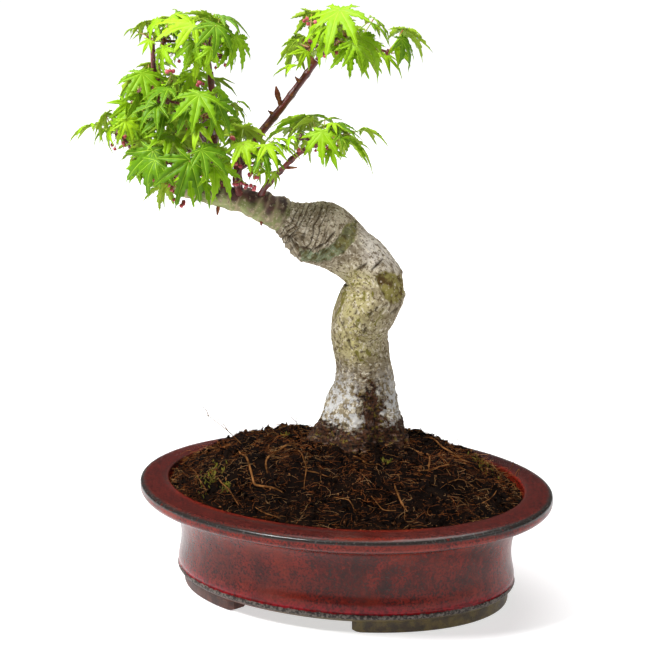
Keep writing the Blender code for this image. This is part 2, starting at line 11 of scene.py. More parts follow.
import bmesh
import bpy
import numpy as np
from mathutils import Matrix, Vector, noise
from mathutils.bvhtree import BVHTree


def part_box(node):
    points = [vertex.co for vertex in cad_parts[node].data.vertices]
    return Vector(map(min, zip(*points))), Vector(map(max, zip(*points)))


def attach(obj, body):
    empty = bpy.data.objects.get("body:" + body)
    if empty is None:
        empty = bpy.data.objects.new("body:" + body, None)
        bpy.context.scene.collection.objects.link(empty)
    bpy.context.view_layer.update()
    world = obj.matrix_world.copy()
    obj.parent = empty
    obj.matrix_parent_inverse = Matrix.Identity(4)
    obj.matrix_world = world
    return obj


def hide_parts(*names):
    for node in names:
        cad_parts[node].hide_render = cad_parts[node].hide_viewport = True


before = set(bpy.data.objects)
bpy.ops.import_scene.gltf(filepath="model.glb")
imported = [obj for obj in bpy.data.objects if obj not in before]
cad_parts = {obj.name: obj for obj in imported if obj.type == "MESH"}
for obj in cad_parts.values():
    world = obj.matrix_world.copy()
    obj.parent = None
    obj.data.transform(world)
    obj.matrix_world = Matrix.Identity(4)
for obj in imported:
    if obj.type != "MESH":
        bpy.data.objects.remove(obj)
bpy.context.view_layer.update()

MM = 0.001
BODY = "root"
GAP = 0.3 * MM  # air between the solids of neighbouring pieces

TREE_TURN = math.radians(26)
pot_low, pot_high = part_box("pot")
POT_MIDDLE = Vector(((pot_low[0] + pot_high[0]) / 2, (pot_low[1] + pot_high[1]) / 2, 0))
POT = Matrix.Translation(POT_MIDDLE)
TREE = POT @ Matrix.Rotation(TREE_TURN, 4, "Z")

# ---------------------------------------------------------------------------- the rule of the solids

POT_HALF_LENGTH = 110 * MM
POT_HALF_WIDTH = 91.5 * MM
SIDE_INSET = 1.1  # how much more the wall draws in across the pot than along it
FOOT_HEIGHT = 6.5 * MM
FOOT_DEPTH = 9 * MM
FOOT_SINK = 2 * MM  # how far a foot runs up into the pot's floor
FOOT_INSET = 22.3 * MM
FOOT_ARC = 67.5  # how far a foot runs to either side of the pot's long axis, in degrees
FLOOR_TOP = 13.5 * MM
DRAIN_RADIUS = 7 * MM
DRAIN_SPACING = 70 * MM

# The pot's turned section, as (inset from the lip's edge, height), in millimetres.
OUTER_WALL = (
    (21.5, 6.5), (19.8, 8.5), (19.3, 14.0), (20.6, 22.5), (20.5, 30.0), (18.8, 37.5),
    (15.6, 43.5), (10.5, 48.2),
)
LIP = ((3.0, 48.7), (0.6, 50.5), (0.0, 53.0), (1.6, 56.0), (13.0, 57.3), (14.6, 56.6))
INNER_WALL = ((15.4, 53.0), (21.0, 42.0), (25.8, 27.0), (28.5, 13.5))

GROUND = 80 * MM  # height of the soil at the trunk
SOIL_EDGE = 54.5 * MM
SOIL_CLEARANCE = 0.5 * MM
SEAT_RADIUS = 31 * MM
LUMP_SIZE = 17 * MM  # how wide the mound's soft lumps are
LUMP_HEIGHT = 5 * MM

TRUNK_SIDES = 20
BARK_LUMPS = 0.05  # relief of the trunk as a share of its radius
FLARE_LOBES = 5
FLARE_HEIGHT = 20 * MM

# Each limb is a chain of stations (x, y, height, radius) in millimetres, from foot to tip.
TRUNK = (
    (8.4, 0, 80.0, 25.4), (8.5, 0, 83.5, 23.6), (8.6, 0, 89.0, 21.4), (8.8, 0, 96.5, 19.2),
    (9.8, 1, 105.0, 16.8), (9.8, 2, 114.0, 15.1), (9.0, 2, 123.0, 14.2), (7.8, 1, 132.0, 13.9),
    (7.9, 0, 140.5, 14.4), (11.0, -2, 149.5, 15.2), (14.8, -3, 158.0, 14.6), (14.6, -3, 166.0, 14.0),
    (10.6, -2, 172.4, 13.5), (4.2, -1, 177.2, 13.3), (-2.4, 0, 182.0, 14.9), (-9.0, 0, 186.6, 16.2),
    (-15.8, -1, 189.6, 15.2), (-21.6, -2, 192.0, 12.6),
)
MAIN_LIMB = (
    (-17.0, -2, 190.0, 9.4), (-24.3, -2, 193.8, 9.0), (-32.9, -3, 198.6, 8.2), (-43.9, -4, 203.3, 7.0),
    (-52.9, -4, 206.0, 5.9), (-63.0, -3, 207.4, 5.1), (-73.1, -1, 209.3, 4.4), (-79.8, 1, 210.3, 3.8),
    (-90.0, 3, 212.0, 3.0), (-97.0, 4, 214.0, 2.5),
)
UPRIGHT_SHOOT = (
    (-60.0, -3, 207.0, 3.4), (-63.0, 0, 216.5, 3.1), (-65.5, 2, 225.3, 2.8), (-66.5, 3, 235.3, 2.6),
    (-65.7, 3, 244.0, 2.1), (-66.7, 2, 259.9, 1.7), (-67.4, 1, 270.0, 1.5),
)
INNER_BRANCH = (
    (-65.2, 2, 224.0, 2.3), (-73.1, 4, 228.0, 2.1), (-80.3, 6, 231.6, 2.0), (-86.8, 7, 239.2, 1.8),
    (-91.6, 7, 249.4, 1.6), (-95.0, 6, 260.0, 1.4), (-95.9, 4, 274.0, 1.3), (-96.0, 3, 281.0, 1.2),
)
LEFT_BRANCH = ((-91.3, 7, 248.8, 1.4), (-97.0, 4, 251.5, 1.3), (-103.0, 1, 254.5, 1.2))
FRONT_BRANCH = ((-73.0, -1, 209.3, 1.9), (-76.5, -9, 213.5, 1.6), (-80.0, -15, 218.0, 1.4))
CENTRE_BRANCH = ((-66.3, 3, 238.0, 1.6), (-68.0, -5, 242.5, 1.4), (-70.5, -12, 247.5, 1.2))
BACK_BRANCH = ((-63.4, 1, 218.0, 1.9), (-68.5, 11, 229.0, 1.6), (-75.0, 20, 239.0, 1.4))
FORK_TWIG = ((-52.0, -4, 206.0, 1.8), (-54.0, -11, 214.5, 1.5), (-53.5, -14, 220.0, 1.3))
LONG_SHOOT = (
    (-53.4, -4, 207.0, 2.4), (-54.1, -3, 220.2, 2.3), (-51.8, -2, 227.6, 2.2), (-47.3, -1, 233.3, 2.1),
    (-40.8, 1, 241.3, 2.0), (-31.8, 4, 251.9, 1.9), (-21.2, 8, 265.5, 1.7), (-14.5, 10, 274.4, 1.6),
)
LOW_SHOOT = (
    (-43.8, -4, 205.0, 1.6), (-40.7, -9, 212.7, 1.5), (-35.7, -11, 218.7, 1.4), (-29.6, -13, 225.6, 1.3),
    (-24.6, -14, 230.6, 1.3), (-20.6, -15, 233.6, 1.2),
)

# name: (stations, sides, the limb that it grows from)
BOUGHS = {
    "main_limb": (MAIN_LIMB, 14, "trunk"),
    "upright_shoot": (UPRIGHT_SHOOT, 7, "main_limb"),
    "inner_branch": (INNER_BRANCH, 7, "upright_shoot"),
    "left_branch": (LEFT_BRANCH, 6, "inner_branch"),
    "front_branch": (FRONT_BRANCH, 6, "main_limb"),
    "centre_branch": (CENTRE_BRANCH, 6, "upright_shoot"),
    "back_branch": (BACK_BRANCH, 6, "upright_shoot"),
    "fork_twig": (FORK_TWIG, 6, "main_limb"),
    "long_shoot": (LONG_SHOOT, 7, "main_limb"),
    "low_shoot": (LOW_SHOOT, 7, "main_limb"),
}

# ------------------------------------------------------------------- driving dimensions: the leaves

# name: (the limb whose tip it starts from, middle and reach of its space in millimetres, length of
# its leaves in millimetres, a seed for each of its buds)
MASSES = {
    "leaves_right_top": ("long_shoot", (1, 6, 286), (62, 36, 33), 28,
        (33194, 33243, 33118, 33142, 33006, 33214, 33162)),
    "leaves_right_low": ("low_shoot", (-7, -14, 237), (40, 30, 24), 25,
        (33222, 33243, 33227, 33256)),
    "leaves_top": ("upright_shoot", (-70, -2, 287), (36, 30, 27), 23,
        (33065, 33066, 33080, 33062, 33047)),
    "leaves_top_left": ("inner_branch", (-97, 1, 290), (28, 26, 23), 19, (33211, 33240)),
    "leaves_left_high": ("left_branch", (-108, 0, 261), (30, 28, 27), 23,
        (33130, 33034, 33080, 33023)),
    "leaves_front": ("front_branch", (-84, -24, 220), (36, 26, 28), 27,
        (33076, 33195, 33098, 33055, 33241)),
    "leaves_centre": ("centre_branch", (-73, -17, 250), (38, 28, 27), 27,
        (33070, 33002, 33098, 33138, 33202)),
    "leaves_left_low": ("main_limb", (-113, 2, 234), (38, 30, 30), 23,
        (33169, 33199, 33083, 33111, 33130)),
    "leaves_fork": ("fork_twig", (-47, -18, 231), (30, 26, 26), 28, (33249, 33025, 33150)),
    "leaves_back": ("back_branch", (-82, 32, 248), (44, 32, 36), 24,
        (33124, 33105, 33023, 33065, 33135, 33025)),
}

TWIG_RADIUS = 1.0 * MM
TWIG_SIDES = 3
STALK_RADIUS = 0.5 * MM
STALK_LENGTH = 13 * MM
SPREAD = math.radians(58)  # between a twig and the leaf stalks of a pair
SECOND_PAIR = 0.78  # size of a bud's inner pair of leaves next to its outer pair
TRIES = 14  # ways a leaf is turned before it is given up
LEAF_THICKNESS = 0.8 * MM
LEAF_DROOP = 0.3  # how far a lobe's tip hangs, as a share of its length
LOBE_WIDTH = 0.13  # half the width of a lobe, as a share of its length
SHOULDER = 0.6  # where a lobe is widest
SINUS = 0.36  # depth of the notches between lobes, as a share of the lobes beside them
# A leaf's lobes as (degrees from the middle lobe, length), mirrored to both sides.
LOBES = ((0, 1.0), (38, 0.93), (76, 0.7), (114, 0.38))
LEAF_BASE = 0.05  # the notch at the stalk
LEAF_CREST = 0.11  # where a blade is thickest, from the stalk towards the middle lobe's tip
BUD_RADIUS = 1.9 * MM
FLOWERS = 2  # hanging on a bud whose seed is odd
FLOWER_RADIUS = 1.5 * MM
FLOWER_STALK = 6.5 * MM


def loft(rings):
    """Points and faces of a closed skin over rings of equally many points, capped at both ends."""
    sides = len(rings[0])
    points = [p for ring in rings for p in ring]
    faces = []
    for low in range(0, len(points) - sides, sides):
        for i in range(sides):
            j = (i + 1) % sides
            faces.append((low + i, low + j, low + sides + j, low + sides + i))
    faces.append(tuple(range(sides - 1, -1, -1)))
    faces.append(tuple(range(len(points) - sides, len(points))))
    return points, faces


def oval_point(inset, height, angle):
    """A point on the pot's wall, at an inset from the lip's edge and an angle from the long axis."""
    return Vector((
        (POT_HALF_LENGTH - inset) * math.cos(angle),
        (POT_HALF_WIDTH - SIDE_INSET * inset) * math.sin(angle),
        height,
    ))


def oval_ring(inset, height, sides):
    return [oval_point(inset, height, math.tau * i / sides) for i in range(sides)]


def soil_height(share, angle):
    """Height of the even mound at a share of the way from the trunk to the pot's wall.

    It stands as a bank on the tree's left and right, and falls away at once behind the trunk.
    """
    across_view, away = math.cos(angle - TREE_TURN), math.sin(angle - TREE_TURN)
    steepness = 1.5 + 1.6 * max(0.0, -across_view) + 0.4 * max(0.0, across_view) - 1.2 * max(0.0, away)
    return SOIL_EDGE + (GROUND - GAP - SOIL_EDGE) * (1 - share ** max(0.7, steepness))


def mound_height(spot, share, angle):
    """Height of the mound at a spot, with soft lumps that die out at the trunk and the wall."""
    lump = noise.noise(Vector((*spot, 0)) / LUMP_SIZE) * LUMP_HEIGHT
    return soil_height(share, angle) + lump * min(1, 5 * share) * min(1, 4 * (1 - share))


def turned(vector):
    """A point of the tree's frame in the pot's frame."""
    turn = Matrix.Rotation(TREE_TURN, 2 if len(vector) == 2 else 3, *(() if len(vector) == 2 else ("Z",)))
    return turn @ vector


def smooth_chain(stations, per_span):
    """Points and radii along a smooth curve through a limb's stations (Catmull-Rom)."""
    knots = [Vector(s) * MM for s in stations]
    chain = []
    for k in range(len(knots) - 1):
        before = knots[k - 1] if k else knots[0] * 2 - knots[1]
        after = knots[k + 2] if k + 2 < len(knots) else knots[-1] * 2 - knots[-2]
        a, b = knots[k], knots[k + 1]
        for step in range(per_span):
            t = step / per_span
            chain.append(
                (a * 2 + (b - before) * t + (before * 2 - a * 5 + b * 4 - after) * t**2
                 + (a * 3 - before - b * 3 + after) * t**3) / 2
            )
    chain.append(knots[-1])
    return [p.xyz for p in chain], [p.w for p in chain]


def across(direction):
    """Two unit vectors square to a direction."""
    side = direction.cross(Vector((0, 1, 0)))
    if side.length < 0.2:
        side = direction.cross(Vector((1, 0, 0)))
    side.normalize()
    return side, side.cross(direction).normalized()


def tube_rings(points, radii, sides, relief=None):
    """Rings square to a path. relief(position along the path, angle) scales the radius."""
    rings = []
    for k, (point, radius) in enumerate(zip(points, radii)):
        ahead = points[min(k + 1, len(points) - 1)] - points[max(k - 1, 0)]
        if relief and k == 0:
            ahead = Vector((0, 0, 1))  # the trunk is cut level with the ground
        u, v = across(ahead.normalized())
        ring = []
        for i in range(sides):
            angle = math.tau * i / sides
            scale = relief(k / (len(points) - 1), angle, point) if relief else 1.0
            ring.append(point + (u * math.cos(angle) + v * math.sin(angle)) * radius * scale)
        rings.append(ring)
    return rings


def trunk_relief(along, angle, point):
    """Root flare at the foot, and uneven swellings all the way up."""
    flare = max(0.0, 1 - (point.z - GROUND) / FLARE_HEIGHT)
    roots = 0.11 * flare * math.cos(FLARE_LOBES * angle + 0.6)
    lumps = math.sin(3 * angle + 31 * along) * math.sin(17 * along + angle)
    return 1 + roots + BARK_LUMPS * lumps * min(1.0, 12 * along) * (1 - along)


def leaf_outline():
    """A leaf of length 1, flat, its stalk at the origin and its middle lobe along X."""
    outline = []

    def add(degrees, radius):
        angle = math.radians(degrees)
        outline.append(Vector((radius * math.cos(angle), radius * math.sin(angle), 0)))

    half = []
    for k, (degrees, length) in enumerate(LOBES):
        wide = math.degrees(math.atan2(LOBE_WIDTH, SHOULDER))
        last = k == len(LOBES) - 1
        if k and not last:
            half.append((degrees - wide, length * SHOULDER))
        half.append((degrees, length))
        if not last:
            half.append((degrees + wide, length * SHOULDER))
            follows, shorter = LOBES[k + 1]
            half.append(((degrees + follows) / 2, SINUS * (length + shorter) / 2))
    for degrees, radius in reversed(half[1:]):
        add(-degrees, radius)
    for degrees, radius in half:
        add(degrees, radius)
    add(180, LEAF_BASE)
    return outline


OUTLINE = leaf_outline()


def leaf_shell(place, length, thickness=LEAF_THICKNESS):
    """A leaf as a closed shell that is thickest near its stalk and drooping at its tips."""
    points = []
    for p in OUTLINE:
        reach = math.hypot(p.x, p.y)
        points.append(place @ (Vector((p.x, p.y, -LEAF_DROOP * reach**2)) * length))
    top = place @ Vector((LEAF_CREST * length, 0, thickness / 2))
    below = place @ Vector((LEAF_CREST * length, 0, -thickness / 2))
    count = len(points)
    faces = [(count, i, (i + 1) % count) for i in range(count)]
    faces += [(count + 1, (i + 1) % count, i) for i in range(count)]
    return points + [top, below], faces


def rod_shell(path, radius, tip_radius, sides=TWIG_SIDES):
    radii = [radius + (tip_radius - radius) * k / (len(path) - 1) for k in range(len(path))]
    return loft(tube_rings(path, radii, sides))


def drop_shell(middle, radius):
    """A bud or a flower head: an eight-sided drop."""
    points = [middle + Vector(d) * radius for d in (
        (1, 0, 0), (0, 1, 0), (-1, 0, 0), (0, -1, 0), (0, 0, 1.3), (0, 0, -1.3))]
    faces = [(4, 0, 1), (4, 1, 2), (4, 2, 3), (4, 3, 0), (5, 1, 0), (5, 2, 1), (5, 3, 2), (5, 0, 3)]
    return points, faces


def tree_of(shells):
    """A search tree over shells, to find what touches what."""
    points, faces = [], []
    for shell_points, shell_faces in shells:
        start = len(points)
        points += [tuple(p) for p in shell_points]
        faces += [tuple(start + i for i in face) for face in shell_faces]
    return BVHTree.FromPolygons(points, faces) if faces else None


class Space:
    """A mass's own room: an ellipsoid, less what limbs, other masses and its own parts take up."""

    def __init__(self, middle, reach, blocked):
        self.middle = Vector(middle) * MM
        self.reach = Vector(reach) * MM
        self.blocked = list(blocked)
        self.sticks = []

    def holds(self, points):
        for p in points:
            d = p - self.middle
            if (d.x / self.reach.x) ** 2 + (d.y / self.reach.y) ** 2 + (d.z / self.reach.z) ** 2 > 1:
                return False
        return True

    def is_free(self, shell, sticks=False):
        """Whether a shell touches nothing. The mass's own sticks count only where asked for."""
        probe = tree_of([shell])
        return not any(tree.overlap(probe) for tree in self.blocked + (self.sticks if sticks else []))


def leaf_place(foot, outward, pitch, roll):
    """Where a blade sits: its middle lobe points outward and down by pitch, tilted by roll."""
    level = Vector((outward.x, outward.y, 0))
    level = level.normalized() if level.length > 0.05 else Vector((1, 0, 0))
    ahead = (level * math.cos(pitch) - Vector((0, 0, 1)) * math.sin(pitch)).normalized()
    side = Vector((0, 0, 1)).cross(level).normalized()
    side = Matrix.Rotation(roll, 3, ahead) @ side
    up = ahead.cross(side).normalized()
    turn = Matrix((ahead, side, up)).transposed().to_4x4()
    return Matrix.Translation(foot) @ turn


def stem_of(mass):
    """The path of a mass's stem, from the tip of its limb into its space."""
    points, _ = smooth_chain(BOUGHS[mass[0]][0], 2)
    tip, heading = points[-1], (points[-1] - points[-2]).normalized()
    end = tip.lerp(Vector(mass[1]) * MM, 0.45)
    start = tip + heading * GAP
    bend = start + heading * 3 * MM
    return [start, bend, bend.lerp(end, 0.5) + heading * (end - tip).length * 0.12, end]


def grow_leaf(rng, space, target, way, length):
    """Tries one leaf on its stalk: None where it would leave its space or touch something."""
    foot = target + way * STALK_LENGTH * rng.uniform(0.5, 1.3)
    pitch, roll = math.radians(rng.uniform(0, 70)), math.radians(rng.gauss(0, 20))
    place = leaf_place(foot, way, pitch, roll)
    stalk = [target, place @ Vector((0.6 * MM, 0, 0))]
    if not space.holds(leaf_shell(place, length)[0]):
        return None
    if not space.is_free(leaf_shell(place, length, 2 * MM), sticks=True):
        return None
    if not space.is_free(rod_shell(stalk, 1.2 * MM, 1.2 * MM)):
        return None
    space.blocked.append(tree_of([leaf_shell(place, length, 2 * MM)]))
    space.sticks.append(tree_of([rod_shell([target, target.lerp(foot, 0.7)], 1.2 * MM, 1.2 * MM)]))
    return place, length, stalk


def grow_bud(seed, space, stem, leaf_length):
    """Grows a twig off the stem to one bud, the bud's two crossed pairs of leaves, and its flowers."""
    rng = random.Random(seed)
    angle = rng.uniform(0, math.tau)
    away = Vector((math.cos(angle), math.sin(angle), rng.uniform(-0.8, 0.9))) * rng.uniform(0.15, 0.72)
    target = space.middle + away * space.reach
    root = stem[-2].lerp(stem[-1], rng.uniform(0.15, 0.95))
    knee = root.lerp(target, 0.5) + Vector((0, 0, 1)) * (target - root).length * 0.12
    path = [root, knee, target]
    if not space.is_free(rod_shell(path, TWIG_RADIUS * 1.5, TWIG_RADIUS * 1.5)):
        return [], [], []
    if not space.is_free(drop_shell(target, BUD_RADIUS * 1.2)):
        return [], [], []
    space.sticks.append(tree_of([rod_shell(path, TWIG_RADIUS * 1.2, TWIG_RADIUS * 1.2)]))
    along = (target - knee).normalized()
    u, v = across(along)
    quarter = rng.uniform(0, math.tau)
    leaves, flowers = [], []
    for number in range(4):
        pair = number // 2
        for _ in range(TRIES):
            around = quarter + (pair + 2 * number) * math.pi / 2 + rng.uniform(-0.6, 0.6)
            sideways = u * math.cos(around) + v * math.sin(around)
            way = along * math.cos(SPREAD) + sideways * math.sin(SPREAD)
            way = (way + Vector((0, 0, rng.uniform(0.1, 0.6)))).normalized()
            length = leaf_length * MM * rng.uniform(0.75, 1.1) * (SECOND_PAIR if pair else 1.0)
            leaf = grow_leaf(rng, space, target, way, length)
            if leaf:
                leaves.append(leaf)
                break
    for k in range(FLOWERS if seed % 2 else 0):
        angle = quarter + math.tau * k / FLOWERS
        hang = Vector((math.cos(angle) * 0.55, math.sin(angle) * 0.55, -1)).normalized()
        berry = target + hang * FLOWER_STALK * rng.uniform(0.8, 1.25)
        shell = drop_shell(berry, FLOWER_RADIUS * 1.4)
        if space.holds(shell[0]) and space.is_free(shell, sticks=True):
            flowers.append((berry, [target, berry]))
    return [(path, TWIG_RADIUS * 0.9, TWIG_RADIUS * 0.7)], leaves, flowers


def grow_mass(mass, stem, blocked):
    """Grows one mass on its stem. Returns its wood, its leaves and its flowers.

    A leaf is (place, length, its stalk's path), a piece of wood (path, radius, radius at the tip).
    """
    _, middle, reach, leaf_length, seeds = mass
    space = Space(middle, reach, blocked)
    space.sticks.append(tree_of([rod_shell(stem, TWIG_RADIUS * 1.4, TWIG_RADIUS * 1.4)]))
    grown = [(stem, TWIG_RADIUS * 1.2, TWIG_RADIUS)], [], []
    for seed in seeds:
        for kept, new in zip(grown, grow_bud(seed, space, stem, leaf_length)):
            kept.extend(new)
    return grown


def shells_of(wood, leaves, flowers):
    shells = [rod_shell(path, *radii) for path, *radii in wood]
    for place, length, path in leaves:
        shells.append(rod_shell(path, STALK_RADIUS, STALK_RADIUS))
        shells.append(leaf_shell(place, length))
    for path, *_ in wood[1:]:
        shells.append(drop_shell(path[-1], BUD_RADIUS))
    for berry, path in flowers:
        shells.append(rod_shell(path, STALK_RADIUS * 0.8, STALK_RADIUS * 0.8))
        shells.append(drop_shell(berry, FLOWER_RADIUS))
    return shells


def widened(shells, by):
    """The shells pushed out a little all round, so that what grows beside them keeps clear."""
    wide = []
    for points, faces in shells:
        middle = sum(points, Vector()) / len(points)
        wide.append(([p + (p - middle).normalized() * by for p in points], faces))
    return wide


def limb_shells(margin):
    """Skins around the trunk and every bough, pushed out by a margin."""
    chains = {"trunk": (TRUNK, TRUNK_SIDES), **{name: bough[:2] for name, bough in BOUGHS.items()}}
    shells = []
    for stations, sides in chains.values():
        points, radii = smooth_chain(stations, 2)
        shells.append(loft(tube_rings(points, [r + margin for r in radii], sides)))
    return shells


def grow_all():
    """Every mass, in order, each keeping clear of the limbs, the stems and the masses before it."""
    limbs = tree_of(limb_shells(0.8 * MM))
    stems = {name: stem_of(mass) for name, mass in MASSES.items()}
    grown, taken = {}, []
    for name, mass in MASSES.items():
        others = [rod_shell(s, TWIG_RADIUS * 2, TWIG_RADIUS * 2) for n, s in stems.items() if n != name]
        grown[name] = grow_mass(mass, stems[name], [limbs, tree_of(others), *taken])
        taken.append(tree_of(widened(shells_of(*grown[name]), 0.5 * MM)))
    return grown


SCALE_OF_SOLID_LEAVES = 0.9  # a leaf with real edges beside the plain leaf of its solid
# The size of the finer leaves of each mass beside the solid's leaves.
FINER_SIZE = {
    "leaves_right_top": 0.8, "leaves_right_low": 0.8, "leaves_top": 0.8, "leaves_top_left": 0.8,
    "leaves_left_high": 0.75, "leaves_front": 0.7, "leaves_centre": 0.75, "leaves_left_low": 0.75,
    "leaves_fork": 0.72, "leaves_back": 0.85,
}
# A seed for each finer bud on a mass's stem.
FINER_SEEDS = {
    "leaves_right_top": (52029, 52012, 52092, 52052, 52032, 52050),
    "leaves_right_low": (52081, 52119, 52023, 52061),
    "leaves_top": (52039, 52047, 52107),
    "leaves_top_left": (52043, 52019, 52013),
    "leaves_left_high": (52019, 52024, 52008, 52013),
    "leaves_front": (52049, 52100),
    "leaves_centre": (52023, 52000),
    "leaves_left_low": (52013, 52018, 52110, 52022, 52088),
    "leaves_fork": (52052,),
    "leaves_back": (52118, 52100, 52026),
}


def finer_rooms(grown):
    """Room for finer buds in each mass: the same space, less the limbs and all leaves so far."""
    limbs = tree_of(limb_shells(0.5 * MM))
    rooms = {}
    for name, mass in MASSES.items():
        others = [shell for other, made in grown.items() if other != name for shell in shells_of(*made)]
        own = [leaf_shell(place, length) for place, length, _ in grown[name][1]]
        rooms[name] = Space(mass[1], mass[2], [limbs, tree_of(others), tree_of(own)])
        rooms[name].sticks.append(tree_of([rod_shell(path, *radii) for path, *radii in grown[name][0]]))
    return rooms


def pass_on(rooms, name):
    """Makes one mass's finer buds known to all the others."""
    made = rooms[name].blocked[3:] + rooms[name].sticks[1:]
    for other, room in rooms.items():
        if other != name:
            room.blocked = room.blocked + made


# ----------------------------------------------------------------------------------- small workshop


def srgb(code):
    """A colour given as an sRGB hex value, in linear light."""
    parts = [int(code[i:i + 2], 16) / 255 for i in (1, 3, 5)]
    return (*[c / 12.92 if c <= 0.04045 else ((c + 0.055) / 1.055) ** 2.4 for c in parts], 1.0)


def add(tree, kind, inputs=None, stops=None, **settings):
    """Adds a node with its settings. An input is a value or the socket that feeds it."""
    made = tree.nodes.new(kind)
    for name, value in settings.items():
        setattr(made, name, value)
    for key, value in (inputs or {}).items():
        for given in value if isinstance(value, list) else [value]:
            if isinstance(given, bpy.types.NodeSocket):
                tree.links.new(given, made.inputs[key])
            else:
                made.inputs[key].default_value = given
    if stops:
        band = made.color_ramp.elements
        while len(band) < len(stops):
            band.new(1.0)
        for slot, (place, colour) in zip(band, stops):
            slot.position = place
            slot.color = srgb(colour) if isinstance(colour, str) else (colour, colour, colour, 1)
    return made


def new_material(name, **finish):
    """An empty material with its Principled shader set. Returns the material, its tree and shader."""
    made = bpy.data.materials.new(name)
    made.use_nodes = True
    shader = made.node_tree.nodes["Principled BSDF"]
    for key, value in finish.items():
        shader.inputs[key.replace("_", " ")].default_value = value
    return made, made.node_tree, shader


def mixed(tree, share, one, other):
    """One colour turning to another by a share. Each is a hex value or a socket."""
    one, other = [srgb(c) if isinstance(c, str) else c for c in (one, other)]
    return add(tree, "ShaderNodeMix", {0: share, 6: one, 7: other}, data_type="RGBA").outputs[2]


def blotches(tree, at, size_mm, low, high, detail=4.0, stretch=None, rough=0.55):
    """A share from 0 to 1 in blotches of about that size, cut between two levels of noise."""
    if stretch:
        at = add(tree, "ShaderNodeMapping", {"Vector": at, "Scale": stretch}).outputs[0]
    cloud = add(tree, "ShaderNodeTexNoise",
                {"Vector": at, "Scale": 1 / (size_mm * MM), "Detail": detail, "Roughness": rough})
    return add(tree, "ShaderNodeMapRange",
               {"Value": cloud.outputs[0], "From Min": low, "From Max": high},
               interpolation_type="SMOOTHSTEP").outputs[0]


def times(tree, one, other):
    return add(tree, "ShaderNodeMath", {0: one, 1: other}, operation="MULTIPLY").outputs[0]


def plus(tree, one, other):
    return add(tree, "ShaderNodeMath", {0: one, 1: other}, operation="ADD").outputs[0]


def spotted(tree, colour, shade, share, *where, **how):
    """A colour with blotches of a shade in it, none stronger than the share."""
    return mixed(tree, times(tree, blotches(tree, *where, **how), share), colour, shade)


def level(tree, value, low, high):
    """A share that goes from 0 to 1 as a value goes from low to high."""
    return add(tree, "ShaderNodeMapRange", {"Value": value, "From Min": low, "From Max": high},
               interpolation_type="SMOOTHSTEP").outputs[0]


def relief(tree, shader, height, depth_mm, strength=1.0):
    bump = add(tree, "ShaderNodeBump", {"Height": height, "Distance": depth_mm * MM, "Strength": strength})
    tree.links.new(bump.outputs[0], shader.inputs["Normal"])


def settle(mesh, outward=True, merge=None):
    """Closes doubled points and turns the faces outwards."""
    work = bmesh.new()
    work.from_mesh(mesh)
    if merge:
        bmesh.ops.remove_doubles(work, verts=work.verts, dist=merge)
    if outward:
        bmesh.ops.recalc_face_normals(work, faces=work.faces)
    work.to_mesh(mesh)
    work.free()


def piece(name, points, faces, materials, where=None, smooth=True, facing=None):
    """A mesh piece whose points are carried into place, so that its object stays at the origin."""
    mesh = bpy.data.meshes.new(name)
    placed = [tuple(where @ Vector(p)) for p in points] if where else [tuple(p) for p in points]
    mesh.from_pydata(placed, [], faces)
    settle(mesh)
    for finish in materials:
        mesh.materials.append(finish)
    if facing is not None:
        mesh.polygons.foreach_set("material_index", facing)
    mesh.polygons.foreach_set("use_smooth", [smooth] * len(mesh.polygons))
    made = bpy.data.objects.new(name, mesh)
    bpy.context.scene.collection.objects.link(made)
    return made


def paint(made, name, values):
    """A number at each point of a piece, for its material to read."""
    made.data.attributes.new(name, "FLOAT", "POINT").data.foreach_set("value", values)


def flow(made, vectors):
    """A position at each point of a piece, as if the limb were straight, for its bark to follow."""
    laid = made.data.attributes.new("grain_place", "FLOAT_VECTOR", "POINT")
    laid.data.foreach_set("vector", [c for v in vectors for c in v])


def ready(made, slot, *nodes):
    """Hangs a finished piece on the body it rides on and hides the solid's parts that it stands for. The
    slot is not used.
    """
    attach(made, BODY)
    if nodes:
        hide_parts(*nodes)
    return made


def smoothed(points, per_span):
    """A smooth curve through points of any size (Catmull-Rom)."""
    knots = [Vector(p) for p in points]
    curve = []
    for k in range(len(knots) - 1):
        a, b = knots[k], knots[k + 1]
        before = knots[k - 1] if k else a * 2 - b
        after = knots[k + 2] if k + 2 < len(knots) else b * 2 - a
        for step in range(per_span):
            t = step / per_span
            curve.append((a * 2 + (b - before) * t + (before * 2 - a * 5 + b * 4 - after) * t**2
                          + (a * 3 - before - b * 3 + after) * t**3) / 2)
    curve.append(knots[-1])
    return curve


def rough(p, size_mm, salt=0.0):
    """Smooth noise from -1 to 1 in lumps of about that size."""
    return noise.noise(Vector(p) / (size_mm * MM) + Vector((salt, salt * 1.7, salt * 0.6)))


def soft_step(value, low, high):
    """0 to 1 as a value goes from low to high, or from high to low where low is the larger."""
    t = min(1.0, max(0.0, (value - low) / (high - low)))
    return t * t * (3 - 2 * t)


def grown_by(made, tree, settings):
    """A piece made by a geometry nodes tree. Inputs are set before anything is evaluated."""
    maker = made.modifiers.new("maker", "NODES")
    maker.node_group = tree
    for item in tree.interface.items_tree:
        if item.in_out == "INPUT" and item.name in settings:
            maker[item.identifier] = settings[item.name]
    bpy.context.view_layer.update()
    graph = bpy.context.evaluated_depsgraph_get()
    result = bpy.data.meshes.new_from_object(made.evaluated_get(graph))
    made.modifiers.remove(maker)
    made.data = result
    result.name = made.name
    return made


# -------------------------------------------------------------------------------------------- the pot

FINE_SIDES = 224
EDGE_TURN = 1.3 * MM  # roundness of the feet's edges
GLAZE_ENDS = 8.2 * MM  # the feet and the pot's underside below this carry only a thin wash
POT_MARKS = ("worn_edge", "pooled", "smoked", "lip_flat", "glaze_end")


